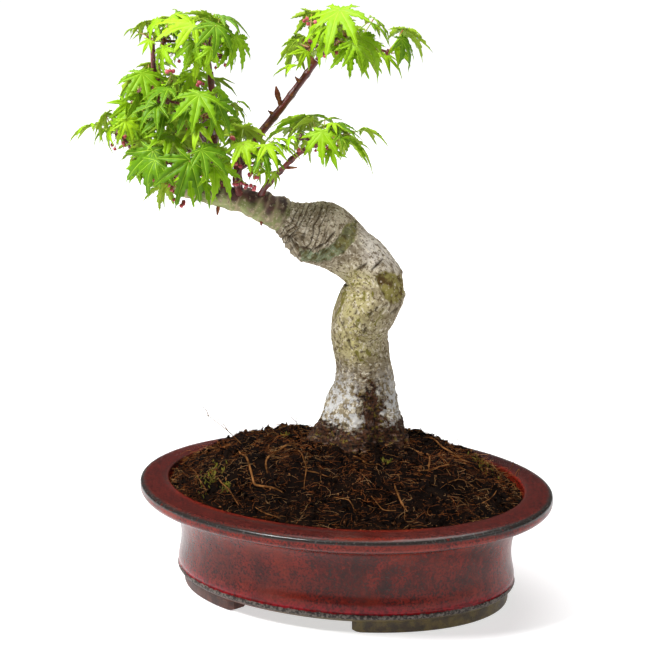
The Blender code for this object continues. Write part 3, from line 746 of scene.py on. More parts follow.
def pot_glaze():
    """Stoneware under a fired copper-red glaze: glassy, finely curdled from brick red to near black,
    pooled crimson low on the wall, and dark and metallic where it broke over an edge."""
    made, tree, shader = new_material(
        "fired_copper_red_glaze", Roughness=0.3, IOR=1.45, Specular_IOR_Level=0.16,
        Coat_Weight=0.16, Coat_Roughness=0.06)
    place = add(tree, "ShaderNodeTexCoord").outputs["Object"]
    edge, pool, cloud, flat, ending = [
        add(tree, "ShaderNodeAttribute", attribute_name=name).outputs["Fac"] for name in POT_MARKS]
    runs = blotches(tree, place, 12, 0.34, 0.66, 7, (1.0, 1.0, 0.4), rough=0.65)
    colour = mixed(tree, runs, "#4E100C", "#7A1D11")
    curdle = blotches(tree, place, 1.1, 0.44, 0.62, 5)
    colour = mixed(tree, times(tree, curdle, 0.85), colour, "#1E0807")
    speck = blotches(tree, place, 1.9, 0.55, 0.72, 3)
    colour = mixed(tree, times(tree, speck, 0.6), colour, "#87291A")
    rusty = blotches(tree, place, 22, 0.45, 0.65, 3)
    colour = mixed(tree, times(tree, rusty, 0.45), colour, "#7B240F")
    colour = mixed(tree, times(tree, flat, 0.85), colour, mixed(tree, curdle, "#431713", "#260B0A"))
    crimson = mixed(tree, blotches(tree, place, 2.2, 0.4, 0.62, 4), "#860F1B", "#520A11")
    colour = mixed(tree, pool, colour, crimson)
    patchy = blotches(tree, place, 6, 0.4, 0.6, 8, (1.0, 1.0, 0.55), rough=0.72)
    smoke = times(tree, cloud, plus(tree, patchy, 0.3))
    colour = mixed(tree, times(tree, smoke, 0.72), colour, "#21120F")
    ash = blotches(tree, place, 1.1, 0.55, 0.7, 3)
    colour = mixed(tree, times(tree, times(tree, cloud, ash), 0.5), colour, "#4A3F39")
    broken = times(tree, edge, blotches(tree, place, 2.6, 0.2, 0.42, 5))
    colour = mixed(tree, broken, colour, mixed(tree, ash, "#262321", "#4A4643"))
    crust = mixed(tree, blotches(tree, place, 1.4, 0.42, 0.62, 4), "#2C2724", "#6B625B")
    torn = times(tree, blotches(tree, place, 2.4, 0.2, 0.8, 5), 0.5)
    crawl = level(tree, plus(tree, ending, torn), 0.62, 0.85)
    colour = mixed(tree, crawl, colour, crust)
    tree.links.new(colour, shader.inputs["Base Color"])
    roughness = add(tree, "ShaderNodeMapRange", {"Value": crawl, "To Min": 0.27, "To Max": 0.75})
    tree.links.new(roughness.outputs[0], shader.inputs["Roughness"])
    ripple = add(tree, "ShaderNodeTexNoise", {"Vector": place, "Scale": 1 / (7 * MM), "Detail": 3.0})
    pits = add(tree, "ShaderNodeTexNoise", {"Vector": place, "Scale": 1 / (0.9 * MM), "Detail": 3.0})
    depth = add(tree, "ShaderNodeMapRange", {"Value": crawl, "To Min": 0.16, "To Max": 1.2})
    pitted = times(tree, pits.outputs[0], depth.outputs[0])
    relief(tree, shader, plus(tree, times(tree, ripple.outputs[0], 0.8), pitted), 0.4)
    return made


def foot_wash():
    """Stoneware feet wiped with a thin iron wash: satiny, red-brown turning to olive."""
    made, tree, shader = new_material("iron_washed_stoneware", Roughness=0.5, Specular_IOR_Level=0.4)
    place = add(tree, "ShaderNodeTexCoord").outputs["Object"]
    across_pot = add(tree, "ShaderNodeSeparateXYZ", {0: place}).outputs["X"]
    colour = mixed(tree, blotches(tree, place, 6, 0.35, 0.65), "#3A1E18", "#5E3528")
    olive = mixed(tree, blotches(tree, place, 5, 0.35, 0.65), "#332B14", "#5A4E20")
    colour = mixed(tree, times(tree, level(tree, across_pot, -0.02, 0.03), 0.85), colour, olive)
    colour = spotted(tree, colour, "#1E1611", 0.6, place, 0.9, 0.55, 0.7)
    tree.links.new(colour, shader.inputs["Base Color"])
    grog = add(tree, "ShaderNodeTexNoise", {"Vector": place, "Scale": 1 / (0.8 * MM), "Detail": 3.0})
    relief(tree, shader, grog.outputs[0], 0.22)
    return made


def pot_section():
    """The pot's section, smoothed wall by wall, with a fine step where the wall meets the lip."""
    bead = ((21.5, 6.5), (19.6, 8.0), (18.9, 9.2), (19.0, 10.3), (19.5, 11.6))
    wall = smoothed([(*p, 0) for p in (*bead, *OUTER_WALL[2:])], 6)
    nose = smoothed([(*p, 0) for p in (*OUTER_WALL[-1:], (6.8, 48.6), *LIP[:5])], 5)
    over = smoothed([(*p, 0) for p in (*LIP[4:], *INNER_WALL)], 5)
    return [(p.x * MM, p.y * MM) for p in wall + nose[1:] + over[1:]]


def foot_rings(number):
    """A foot as the solid has it, with finer steps and rounded edges."""
    rings = []
    steps = 96
    for step in range(steps + 1):
        part = step / steps
        angle = math.radians(180 * number + FOOT_ARC * (2 * part - 1))
        near_end = min(part, 1 - part) * steps
        inward = EDGE_TURN * 0.8 * max(0.0, 1 - near_end / 2) ** 2
        out, back = FOOT_INSET + inward, FOOT_INSET + FOOT_DEPTH - inward
        top = FOOT_HEIGHT + FOOT_SINK
        low = inward
        corner = EDGE_TURN * 0.55
        rings.append([
            oval_point(out, top, angle), oval_point(out, low + corner * 1.4, angle),
            oval_point(out + corner * 0.3, low + corner * 0.5, angle),
            oval_point(out + corner, low + 0.05 * MM, angle),
            oval_point(back - corner, low + 0.05 * MM, angle),
            oval_point(back, low + corner, angle), oval_point(back, top, angle)])
    return rings


def make_pot():
    section = pot_section()
    rings = []
    for inset, height in section:
        ring = []
        for i in range(FINE_SIDES):
            angle = math.tau * i / FINE_SIDES
            p = oval_point(inset, height, angle)
            hand = 0.25 * MM * rough(p, 60, 3)
            ring.append(oval_point(inset + hand, height + 0.3 * MM * rough(p, 75, 8), angle))
        rings.append(ring)
    made = piece("pot_glazed", *loft(rings), [], POT)
    tools = []
    for number in range(2):
        tools.append((piece(f"foot_{number}", *loft(foot_rings(number)), [], POT), "UNION"))
    for side in (-1, 1):
        cutter = bmesh.new()
        bmesh.ops.create_cone(cutter, cap_ends=True, segments=48, radius1=DRAIN_RADIUS,
                              radius2=DRAIN_RADIUS, depth=40 * MM)
        centre = POT @ Vector((side * DRAIN_SPACING / 2, 0, FLOOR_TOP - 10 * MM))
        bmesh.ops.translate(cutter, verts=cutter.verts, vec=centre)
        mesh = bpy.data.meshes.new("drain")
        cutter.to_mesh(mesh)
        cutter.free()
        tool = bpy.data.objects.new("drain", mesh)
        bpy.context.scene.collection.objects.link(tool)
        tools.append((tool, "DIFFERENCE"))
    for tool, operation in tools:
        cut = made.modifiers.new("cut", "BOOLEAN")
        cut.operation, cut.object, cut.solver = operation, tool, "EXACT"
    bpy.context.view_layer.update()
    graph = bpy.context.evaluated_depsgraph_get()
    mesh = bpy.data.meshes.new_from_object(made.evaluated_get(graph))
    made.modifiers.clear()
    made.data = mesh
    for tool, _ in tools:
        bpy.data.objects.remove(tool)
    mesh.materials.clear()
    mesh.materials.append(pot_glaze())
    mesh.materials.append(foot_wash())
    for face in mesh.polygons:
        face.material_index = int(face.center.z < GLAZE_ENDS)
        face.use_smooth = True
    mesh.set_sharp_from_angle(angle=math.radians(50))

    marks = []
    for vertex in mesh.vertices:
        p = vertex.co - POT_MIDDLE
        z = p.z / MM
        turn = math.degrees(math.atan2(p.y / POT_HALF_WIDTH, p.x / POT_HALF_LENGTH))
        inset = (1 - math.hypot(p.x / POT_HALF_LENGTH, p.y / POT_HALF_WIDTH)) * POT_HALF_LENGTH / MM
        wobble = 0.25 * rough(p, 14, 4)
        arris = soft_step(z + wobble, 53.2, 54.2) * soft_step(inset, 2.6, 1.6)
        under = math.exp(-((z - 49.3 + wobble) / 0.55) ** 2) * (inset < 9)
        inner = math.exp(-((inset - 14.4) / 0.8) ** 2) * (z > 55)
        foot = soft_step(z + 2.4 * rough(p, 14, 7), 16.5, 11.5) * (z < 40)
        neck = math.exp(-((z - 47.0) / 1.4) ** 2) * 0.5 * (inset > 8)
        drift = math.exp(-(((turn + 58) / 24) ** 2)) + 0.8 * math.exp(-(((turn - 118) / 34) ** 2))
        drift += 0.75 * math.exp(-(((turn + 14) / 16) ** 2))
        smoked = drift * (13 < z < 48) * (inset > 8) * soft_step(z, 14, 24) * (0.85 + 0.5 * rough(p, 18, 2))
        marks.append((max(arris, under * 0.9, inner * 0.6), (foot + neck) * (0.8 + 0.4 * rough(p, 24, 5)),
                      smoked, float(z > 56.2 and 1.8 < inset < 14), soft_step(z, 11.8, 9.4)))
    for name, values in zip(POT_MARKS, zip(*marks)):
        paint(made, name, [max(0.0, min(1.0, v)) for v in values])
    return ready(made, "pot", "pot")


# ------------------------------------------------------------------------------------------- the soil

MOUND_SIDES = 200
MOUND_RINGS = 70
CRUMBS = (
    # name, crumbs to a square centimetre, smallest and largest in millimetres, seed, colours
    ("peat", 15.0, 0.4, 2.1, 3, ("#040202", "#110904")),
    ("loam", 9.0, 0.35, 1.5, 11, ("#1A0D06", "#3E2310")),
    ("bark_chips", 3.4, 0.3, 1.1, 23, ("#3E2413", "#7E5330")),
)
FIBRES = (
    # name, fibres to a square centimetre, shortest and longest and thickness in millimetres, seed, colours
    ("black", 11.0, 3, 12, 0.17, 5, ("#100804", "#2A170C")),
    ("brown", 16.0, 3, 11, 0.13, 31, ("#4E260C", "#9C5A2A")),
    ("tan", 5.5, 3, 12, 0.12, 17, ("#8A5B2E", "#C49A68")),
)


def loose_height(spot, share, angle):
    """Height of the loose surface: the solid's mound, heaped at the trunk and broken into clods."""
    foot = turned(Vector(TRUNK[0][:2]) * MM)
    away = (spot - foot).length / MM
    heaped = 2.2 * math.exp(-((max(0.0, away - 23) / 5) ** 2))
    p = Vector((*spot, 0))
    clods = abs(rough(p, 7, 4)) * 2.7 + abs(rough(p, 3.2, 1)) * 1.9 + rough(p, 1.7, 9) * 0.5 - 1.8
    fade = min(1.0, (1 - share) * 9 + 0.25)
    return mound_height(spot, share, angle) + (heaped + clods * fade) * MM


def soil_finish(name, colours, grain_mm):
    """Damp peat and loam: matt crumbs, nearly black where they are wet; on the mound the near-black is
    partly painted shade in the gaps between the crumbs.
    """
    made, tree, shader = new_material(name, Roughness=0.95, Specular_IOR_Level=0.05)
    place = add(tree, "ShaderNodeTexCoord").outputs["Object"]
    colour = mixed(tree, blotches(tree, place, grain_mm, 0.35, 0.68), *colours)
    tree.links.new(colour, shader.inputs["Base Color"])
    grain = add(tree, "ShaderNodeTexNoise", {"Vector": place, "Scale": 1 / (0.7 * MM), "Detail": 4.0})
    relief(tree, shader, grain.outputs[0], 0.4)
    return made


def make_mound():
    """The root ball, with a fine loose surface above the solid's filling of the pot."""
    rings = []
    for inset, height in reversed(INNER_WALL):
        clear = inset * MM + SOIL_CLEARANCE
        rings.append(oval_ring(clear, height * MM + SOIL_CLEARANCE, MOUND_SIDES))
    foot = turned(Vector(TRUNK[0][:2]) * MM)
    for step in range(MOUND_RINGS):
        part = 1 - step / (MOUND_RINGS - 1)
        ring = []
        for i in range(MOUND_SIDES):
            angle = math.tau * i / MOUND_SIDES
            edge = oval_point(INNER_WALL[0][0] * MM + 1.6 * MM, 0, angle).xy
            seat = foot + Vector((math.cos(angle), math.sin(angle))) * 14 * MM
            spot = seat.lerp(edge, part)
            share = ((spot - foot).length - SEAT_RADIUS) / max((edge - foot).length - SEAT_RADIUS, MM)
            share = min(max(share, 0.0), 1.0)
            ring.append(Vector((*spot, loose_height(spot, share, angle))))
        rings.append(ring)
    # the mound's near-black stands partly for damp peat and partly for painted shade in the gaps between
    # the crumbs and hairs on it
    made = piece("soil_mound", *loft(rings), [soil_finish("damp_peat_and_painted_shade", ("#060302", "#140B06"), 5)], POT)
    return ready(made, "soil", "soil")


CRUMB_DRIFT = 9  # how wide the patches of crumbs are, in millimetres
HAIR_DRIFT = 14  # and those of hairs
BARE_SHARE = 0.06  # the share of the hairs that is left between the patches


def in_drifts(tree, density, size_mm, salt, least=0.25):
    """A density that comes and goes over the surface in patches of about that size."""
    place = add(tree, "GeometryNodeInputPosition").outputs[0]
    cloud = add(tree, "ShaderNodeTexNoise", {"Vector": place, "W": salt, "Scale": 1 / (size_mm * MM)},
                noise_dimensions="4D").outputs[0]
    share = add(tree, "ShaderNodeMapRange", {
        "Value": cloud, "From Min": 0.4, "From Max": 0.6, "To Min": least, "To Max": 2 - least}).outputs[0]
    return times(tree, density, share)


def new_scatter(what, *sizes):
    """A node group that scatters things over a ground: its tree and the values given to it."""
    tree = bpy.data.node_groups.new(f"scatter_{what.lower()}", "GeometryNodeTree")
    sockets = tree.interface
    sockets.new_socket("Ground", in_out="INPUT", socket_type="NodeSocketGeometry")
    for name in (f"{what} per square metre", *sizes):
        sockets.new_socket(name, in_out="INPUT", socket_type="NodeSocketFloat")
    sockets.new_socket("Seed", in_out="INPUT", socket_type="NodeSocketInt")
    sockets.new_socket("Finish", in_out="INPUT", socket_type="NodeSocketMaterial")
    sockets.new_socket(what, in_out="OUTPUT", socket_type="NodeSocketGeometry")
    return tree, add(tree, "NodeGroupInput").outputs


def drawn(tree, given, low, high):
    """A random vector for each point, between two limits."""
    return add(tree, "FunctionNodeRandomValue", {0: low, 1: high, "Seed": given["Seed"]},
               data_type="FLOAT_VECTOR").outputs[0]


def mostly_small(tree, given, power, least, most):
    """A random size for each point: the higher the power, the fewer are large."""
    even = add(tree, "FunctionNodeRandomValue", {2: 0.0, 3: 1.0, "Seed": given["Seed"]}, data_type="FLOAT")
    rare = add(tree, "ShaderNodeMath", {0: even.outputs[1], 1: power}, operation="POWER")
    return add(tree, "ShaderNodeMapRange", {
        "Value": rare.outputs[0], "To Min": given[least], "To Max": given[most]}).outputs[0]


def lay_out(tree, given, density, shapes, turn, scale):
    """Ends a scatter: one of the shapes at each point, turned and scaled, in the given finish."""
    each = [add(tree, "GeometryNodeGeometryToInstance", {0: shape.outputs[0]}).outputs[0]
            for shape in shapes]
    choice = add(tree, "GeometryNodeJoinGeometry", {0: each})
    points = add(tree, "GeometryNodeDistributePointsOnFaces", {
        "Mesh": given["Ground"], "Density": density, "Seed": given["Seed"]})
    laid = add(tree, "GeometryNodeInstanceOnPoints", {
        "Points": points.outputs[0], "Instance": choice.outputs[0], "Pick Instance": True,
        "Rotation": turn, "Scale": scale})
    real = add(tree, "GeometryNodeRealizeInstances", {0: laid.outputs[0]})
    done = add(tree, "GeometryNodeSetMaterial", {"Geometry": real.outputs[0], "Material": given["Finish"]})
    add(tree, "NodeGroupOutput", {0: done.outputs[0]})
    return tree


CRUMB_SHAPES = 3
FLATTEST = (0.5, 0.4, 0.2)  # the least and the most that a crumb is scaled along each axis
FULLEST = (1.5, 1.0, 0.7)


def crumb_maker():
    """Scatters small broken lumps over a surface."""
    tree, given = new_scatter("Crumbs", "Smallest", "Largest")
    shapes = []
    for k in range(CRUMB_SHAPES):
        ball = add(tree, "GeometryNodeMeshIcoSphere", {"Radius": 1.0, "Subdivisions": 1})
        place = add(tree, "GeometryNodeInputPosition")
        shifted = add(tree, "ShaderNodeVectorMath", {0: place.outputs[0], 1: (7.3 * k, 2.1, 5.7 * k)})
        lumps = add(tree, "ShaderNodeTexNoise", {"Vector": shifted.outputs[0], "Scale": 1.1, "Detail": 2.0})
        centred = add(tree, "ShaderNodeVectorMath", {0: lumps.outputs["Color"], 1: (0.5, 0.5, 0.5)},
                      operation="SUBTRACT")
        pushed = add(tree, "ShaderNodeVectorMath", {0: centred.outputs[0], "Scale": 2.6}, operation="SCALE")
        shapes.append(add(tree, "GeometryNodeSetPosition", {
            "Geometry": ball.outputs[0], "Offset": pushed.outputs[0]}))
    drifts = in_drifts(tree, given["Crumbs per square metre"], CRUMB_DRIFT, given["Seed"])
    turn = drawn(tree, given, (-math.pi,) * 3, (math.pi,) * 3)
    size = mostly_small(tree, given, 2.6, "Smallest", "Largest")
    scale = add(tree, "ShaderNodeVectorMath", {0: drawn(tree, given, FLATTEST, FULLEST), "Scale": size},
                operation="SCALE")
    return lay_out(tree, given, drifts, shapes, turn, scale.outputs[0])


# A root hair's bend across, its bow upwards and its hook, as shares of its length.
HAIR_SHAPES = ((0.4, 0.1, 0.0), (-0.3, 0.16, 0.25), (0.6, 0.05, -0.3), (0.1, 0.2, 0.1),
               (-0.55, 0.08, -0.15))
HAIR_TURN = (0.4, 0.45, math.pi)  # how far a hair turns about each axis at most, in radians


def fibre_maker():
    """Scatters bent root hairs over a surface: most lie along it and some stand out of it."""
    tree, given = new_scatter("Fibres", "Shortest", "Longest", "Thickness")
    longest = add(tree, "ShaderNodeMath", {0: given["Thickness"], 1: given["Longest"]}, operation="DIVIDE")
    wire = add(tree, "GeometryNodeCurvePrimitiveCircle", {"Resolution": 3, "Radius": longest.outputs[0]})
    shapes = []
    for bend, hump, hook in HAIR_SHAPES:
        hair = add(tree, "GeometryNodeCurvePrimitiveBezierSegment", {
            "Resolution": 7, "Start": (-0.5, 0, -0.03), "Start Handle": (-0.2, bend, hump),
            "End Handle": (0.2, -bend * 0.8, hump * 0.4), "End": (0.5, bend * 0.4 + hook, -0.03)})
        shapes.append(add(tree, "GeometryNodeCurveToMesh", {
            "Curve": hair.outputs[0], "Profile Curve": wire.outputs[0], "Fill Caps": True}))
    drifts = in_drifts(tree, given["Fibres per square metre"], HAIR_DRIFT, given["Seed"], BARE_SHARE)
    turn = drawn(tree, given, tuple(-t for t in HAIR_TURN), HAIR_TURN)
    length = mostly_small(tree, given, 1.7, "Shortest", "Longest")
    return lay_out(tree, given, drifts, shapes, turn, length)


def soil_top(mound, name):
    """A copy of the mound's loose surface, for things to be scattered on."""
    work = bmesh.new()
    work.from_mesh(mound.data)
    low = [f for f in work.faces if f.normal.z < 0.1 or f.calc_center_median().z < SOIL_EDGE - 1.5 * MM]
    bmesh.ops.delete(work, geom=low, context="FACES")
    mesh = bpy.data.meshes.new(name)
    work.to_mesh(mesh)
    work.free()
    made = bpy.data.objects.new(name, mesh)
    bpy.context.scene.collection.objects.link(made)
    return made


def scatter_soil(mound):
    crumbs, fibres = crumb_maker(), fibre_maker()
    for name, per_cm2, smallest, largest, seed, colours in CRUMBS:
        made = grown_by(soil_top(mound, f"crumbs_{name}"), crumbs, {
            "Crumbs per square metre": per_cm2 * 1e4, "Smallest": smallest * MM / 2 * 1.2,
            "Largest": largest * MM, "Seed": seed,
            "Finish": soil_finish(f"crumbled_{name}", colours, 3)})
        ready(made, "soil")
    for name, per_cm2, shortest, longest, thickness, seed, colours in FIBRES:
        made = grown_by(soil_top(mound, f"root_hairs_{name}"), fibres, {
            "Fibres per square metre": per_cm2 * 1e4, "Shortest": shortest * MM, "Longest": longest * MM,
            "Thickness": thickness * MM / 2, "Seed": seed,
            "Finish": soil_finish(f"dry_root_{name}", colours, 6)})
        ready(made, "soil")


# Roots lying on the soil: their points in the tree's frame across and along, in millimetres, how
# far they stand clear of the surface, and the radius at their two ends.
ROOTS = (
    (((-58, 6), (-52, -17), (-47, -34), (-44, -41), (-38, -45), (-30, -50)), 1.6, 0.75, 0.95),
    (((-74, 24), (-67, 8), (-58, 6)), 1.2, 0.4, 0.6),
    (((-39, -40), (-40, -25), (-31, -14), (-21, -5)), 1.5, 0.6, 0.8),
    (((40, 7), (47, -7), (56, -18), (65, -17)), 2.0, 0.6, 0.4),
    (((24, -51), (27, -60), (30, -66)), 1.0, 0.7, 0.45),
    (((37, -38), (47, -39), (58, -29)), 1.5, 0.5, 0.35),
    (((64, 1), (74, -2), (82, -8)), 1.6, 0.45, 0.3),
    (((10, -56), (19, -64), (27, -65)), 1.3, 0.45, 0.3),
    (((-67, -18), (-59, -37), (-53, -46)), 1.4, 0.35, 0.5),
    (((-48, -49), (-41, -57), (-31, -63)), 1.0, 0.4, 0.25),
    (((-22, -42), (-11, -48), (0, -45)), 1.2, 0.45, 0.3),
    (((-7, -58), (2, -62), (5, -68)), 1.0, 0.4, 0.25),
    (((47, -49), (59, -40), (70, -38)), 1.3, 0.4, 0.3),
    (((65, -50), (73, -42), (79, -26)), 1.0, 0.35, 0.3),
    (((-25, -24), (-20, -40), (-20, -52)), 1.4, 0.55, 0.35),
    (((-79, 3), (-74, -18), (-69, -30)), 1.2, 0.3, 0.45),
    (((34, -15), (42, -27), (42, -40)), 1.6, 0.6, 0.4),
    (((0, -31), (13, -38), (26, -33)), 1.2, 0.5, 0.35),
)
# Fine roots that stand out of the mound: points across, along and above the ground line.
STRAY = (
    ((-52, 2, 75), (-60, 2, 83), (-70, 2, 91), (-80, 1, 96.5)),
    ((-70, 2, 91), (-72, 3, 95), (-76, 3, 97)),
    ((-60, 2, 83), (-64, 1, 89), (-69, 0, 91.5)),
    ((-22, 6, 79), (-25, 6, 87), (-24, 5, 92)),
    ((-25, 6, 87), (-28, 6, 90), (-30, 7, 94)),
    ((84, 6, 59), (87, 4, 64), (88, 3, 70)),
    ((88, 0, 60), (90, -2, 64), (89, -4, 58)),
    ((70, 12, 62), (76, 10, 69), (82, 8, 68)),
    ((-40, 24, 75), (-44, 22, 81), (-50, 20, 82)),
    ((44, 14, 77), (50, 12, 83), (55, 12, 81)),
    ((58, 18, 72), (62, 18, 79), (67, 17, 81)),
    ((26, 20, 80), (31, 18, 86), (37, 18, 85)),
    ((-76, 20, 63), (-81, 18, 68), (-86, 17, 66)),
    ((-55, 24, 74), (-59, 22, 80), (-58, 20, 84)),
    ((80, -14, 58), (85, -17, 61), (88, -20, 58)),
)


def tapered_tube(points, first, last, sides=7, relief_of=None):
    radii = [first + (last - first) * k / (len(points) - 1) for k in range(len(points))]
    return loft(tube_rings(points, radii, sides, relief_of))


def joined(shells):
    """Several closed shells as one list of points and one of faces."""
    points, faces = [], []
    for shell_points, shell_faces in shells:
        start = len(points)
        points += list(shell_points)
        faces += [tuple(start + i for i in face) for face in shell_faces]
    return points, faces


def make_roots(mound):
    surface = BVHTree.FromObject(mound, bpy.context.evaluated_depsgraph_get())
    shells = []
    for track, lift, first, last in ROOTS:
        path = []
        for p in smoothed([(x * MM, y * MM, 0) for x, y in track], 6):
            spot = TREE @ p
            hit = surface.ray_cast(Vector((spot.x, spot.y, 0.2)), Vector((0, 0, -1)))[0]
            ground = hit.z if hit else SOIL_EDGE
            path.append(Vector((spot.x, spot.y, ground)))
        path = [p + Vector((rough(p, 5, 3), rough(p, 5, 8), 0.5 * rough(p, 4, 5))) * 1.6 * MM for p in path]
        for k, p in enumerate(path):
            share = k / (len(path) - 1)
            arch = math.sin(math.pi * share)
            p.z += (lift * arch - 0.3) * MM
        for _ in range(2):
            eased = [(a + b * 2 + c) / 4 for a, b, c in zip(path, path[1:], path[2:])]
            path = [path[0]] + eased + [path[-1]]
        radii = [(first + (last - first) * k / (len(path) - 1)) * MM * (0.55 + 0.7 * abs(rough(p, 3, 6)))
                 * min(1.0, 0.35 + 4 * min(k, len(path) - 1 - k) / len(path)) for k, p in enumerate(path)]
        shells.append(loft(tube_rings(path, radii, 7)))
    for number, track in enumerate(STRAY):
        path = [TREE @ p for p in smoothed([Vector(p) * MM for p in track], 5)]
        shells.append(tapered_tube(path, (0.28 - 0.012 * number) * MM, 0.1 * MM, 5))
    made = piece("surface_roots", *joined(shells), [soil_finish("dry_tan_root", ("#42270F", "#8A5C33"), 4)])
    ready(made, "soil")


# Tufts of moss: a middle in the tree's frame, how wide it spreads and how many shoots it has.
MOSS = (((-68, -20), 7, 60), ((-60, -34), 4, 24), ((72, -10), 6, 40), ((20, -34), 3, 18),
        ((-30, 10), 3, 16))


def make_moss(mound):
    """Moss: small tufts of upright leafy shoots, standing on the loose surface."""
    rng = random.Random(8)
    surface = BVHTree.FromObject(mound, bpy.context.evaluated_depsgraph_get())
    shells = []
    for (x, y), wide, count in MOSS:
        for _ in range(count):
            spot = TREE @ Vector((rng.gauss(x, wide / 2) * MM, rng.gauss(y, wide / 2) * MM, 0))
            hit = surface.ray_cast(Vector((spot.x, spot.y, 0.2)), Vector((0, 0, -1)))[0]
            if not hit:
                continue
            lean = Vector((rng.gauss(0, 0.5), rng.gauss(0, 0.5), 1)).normalized()
            tip = hit + lean * rng.uniform(0.9, 2.2) * MM
            shoot = [hit - lean * 0.3 * MM, hit.lerp(tip, 0.45), tip]
            shells.append(tapered_tube(shoot, 0.42 * MM, 0.08 * MM, 5))
    ready(piece("moss", *joined(shells), [soil_finish("green_moss", ("#46441A", "#7A7628"), 3)]), "soil")
# ------------------------------------------------------------------------------------------- the wood

BARK_SIDES = 144
# The bark's collar runs on past the trunk's solid, over the foot of the limb.
COLLAR = ((-24.4, -2.1, 193.6, 11.4), (-27.0, -2.4, 195.1, 10.3), (-29.6, -2.7, 196.6, 9.4),
          (-32.0, -2.9, 198.0, 8.3))
# Places in the tree's frame, in millimetres: a middle, its reach on each axis, and a height.
SWELLINGS = (
    ((-22, -8, 181), (9, 12, 6), 2.6),
    ((-12, -12, 201), (9, 8, 6), 1.6),
    ((-4, -12, 200), (7, 9, 5), 1.2),
    ((26, -6, 163), (8, 10, 9), 0.7),
    ((5, -12, 137), (7, 9, 10), 0.9),
)
# Bare patches where bark has flaked or a branch was cut, seen from the front: their corners across
# and up, in millimetres, how deep they lie, and how old they are (0 olive, 1 grown over grey-green).
SCARS = (
    (((14, 170.2), (21, 172.0), (29.5, 167), (31, 159), (26, 154.3), (21.5, 155.7)), 0.8, 0.0),
    (((-0.6, 194.5), (6.4, 196), (5.4, 187.5), (-1.1, 180.6), (-5.6, 186.0)), 0.9, 0.35),
    (((-6, 187.0), (-0.6, 181.2), (-7.7, 177.2), (-14.5, 176.0), (-13.5, 182.0)), 0.5, 0.8),
    (((-23, 184.0), (-13.8, 182.3), (-13.6, 176.2), (-21, 177.8)), 0.4, 1.0),
    (((-21, 209.5), (-11.0, 207.5), (-13.5, 203.2), (-19.5, 204.2)), 0.6, 0.2),
)
SLITS = (  # slits in the bark seen from the front, cut in and painted dark as shade: middle, heading, half length, depth, width
    ((16.2, 175.1), (0.75, 0.65), 4.6, 1.0, 0.8),
    ((8.2, 174.1), (0.84, 0.55), 3.6, 0.8, 0.9),
    ((13.8, 189.0), (0.8, -0.5), 1.8, 0.6, 0.5),
    ((-27.5, 187.2), (4.5, -4.7), 3.6, 1.5, 0.8),
    ((-20.7, 184.4), (9, -2.2), 5.0, 1.5, 0.7),
    ((-12.8, 185.0), (6, 3.2), 4.0, 1.1, 0.7),
    ((-7.4, 189.6), (5, 5.7), 4.2, 0.9, 0.6),
    ((24.5, 150.5), (0.8, 0.5), 2.6, 0.8, 1.1),
    ((5.5, 151.0), (0.4, 0.9), 1.8, 0.6, 0.7),
    ((12.5, 150.0), (0.45, 0.9), 2.2, 0.6, 0.8),
    ((-1.0, 144.0), (0.3, 0.95), 2.0, 0.6, 0.7),
    ((9.8, 141.0), (0.4, 0.9), 2.4, 0.6, 0.9),
    ((15.5, 153.0), (0.5, 0.85), 1.6, 0.5, 0.7),
    ((2.5, 134.0), (-0.2, 0.97), 3.0, 0.7, 0.7),
)


def patch(p, middle, reach):
    """How far a point is from a patch's middle, 1 at its edge."""
    return math.sqrt(sum(((a - b * MM) / (c * MM)) ** 2 for a, b, c in zip(p, middle, reach)))


def within(x, z, corners):
    """How far inside a flat convex outline a point is, in millimetres. Its corners go clockwise."""
    depth = 99.0
    for (ax, az), (bx, bz) in zip(corners, corners[1:] + corners[:1]):
        ex, ez = bx - ax, bz - az
        depth = min(depth, ((z - az) * -ex + (x - ax) * ez) / math.hypot(ex, ez))
    return depth


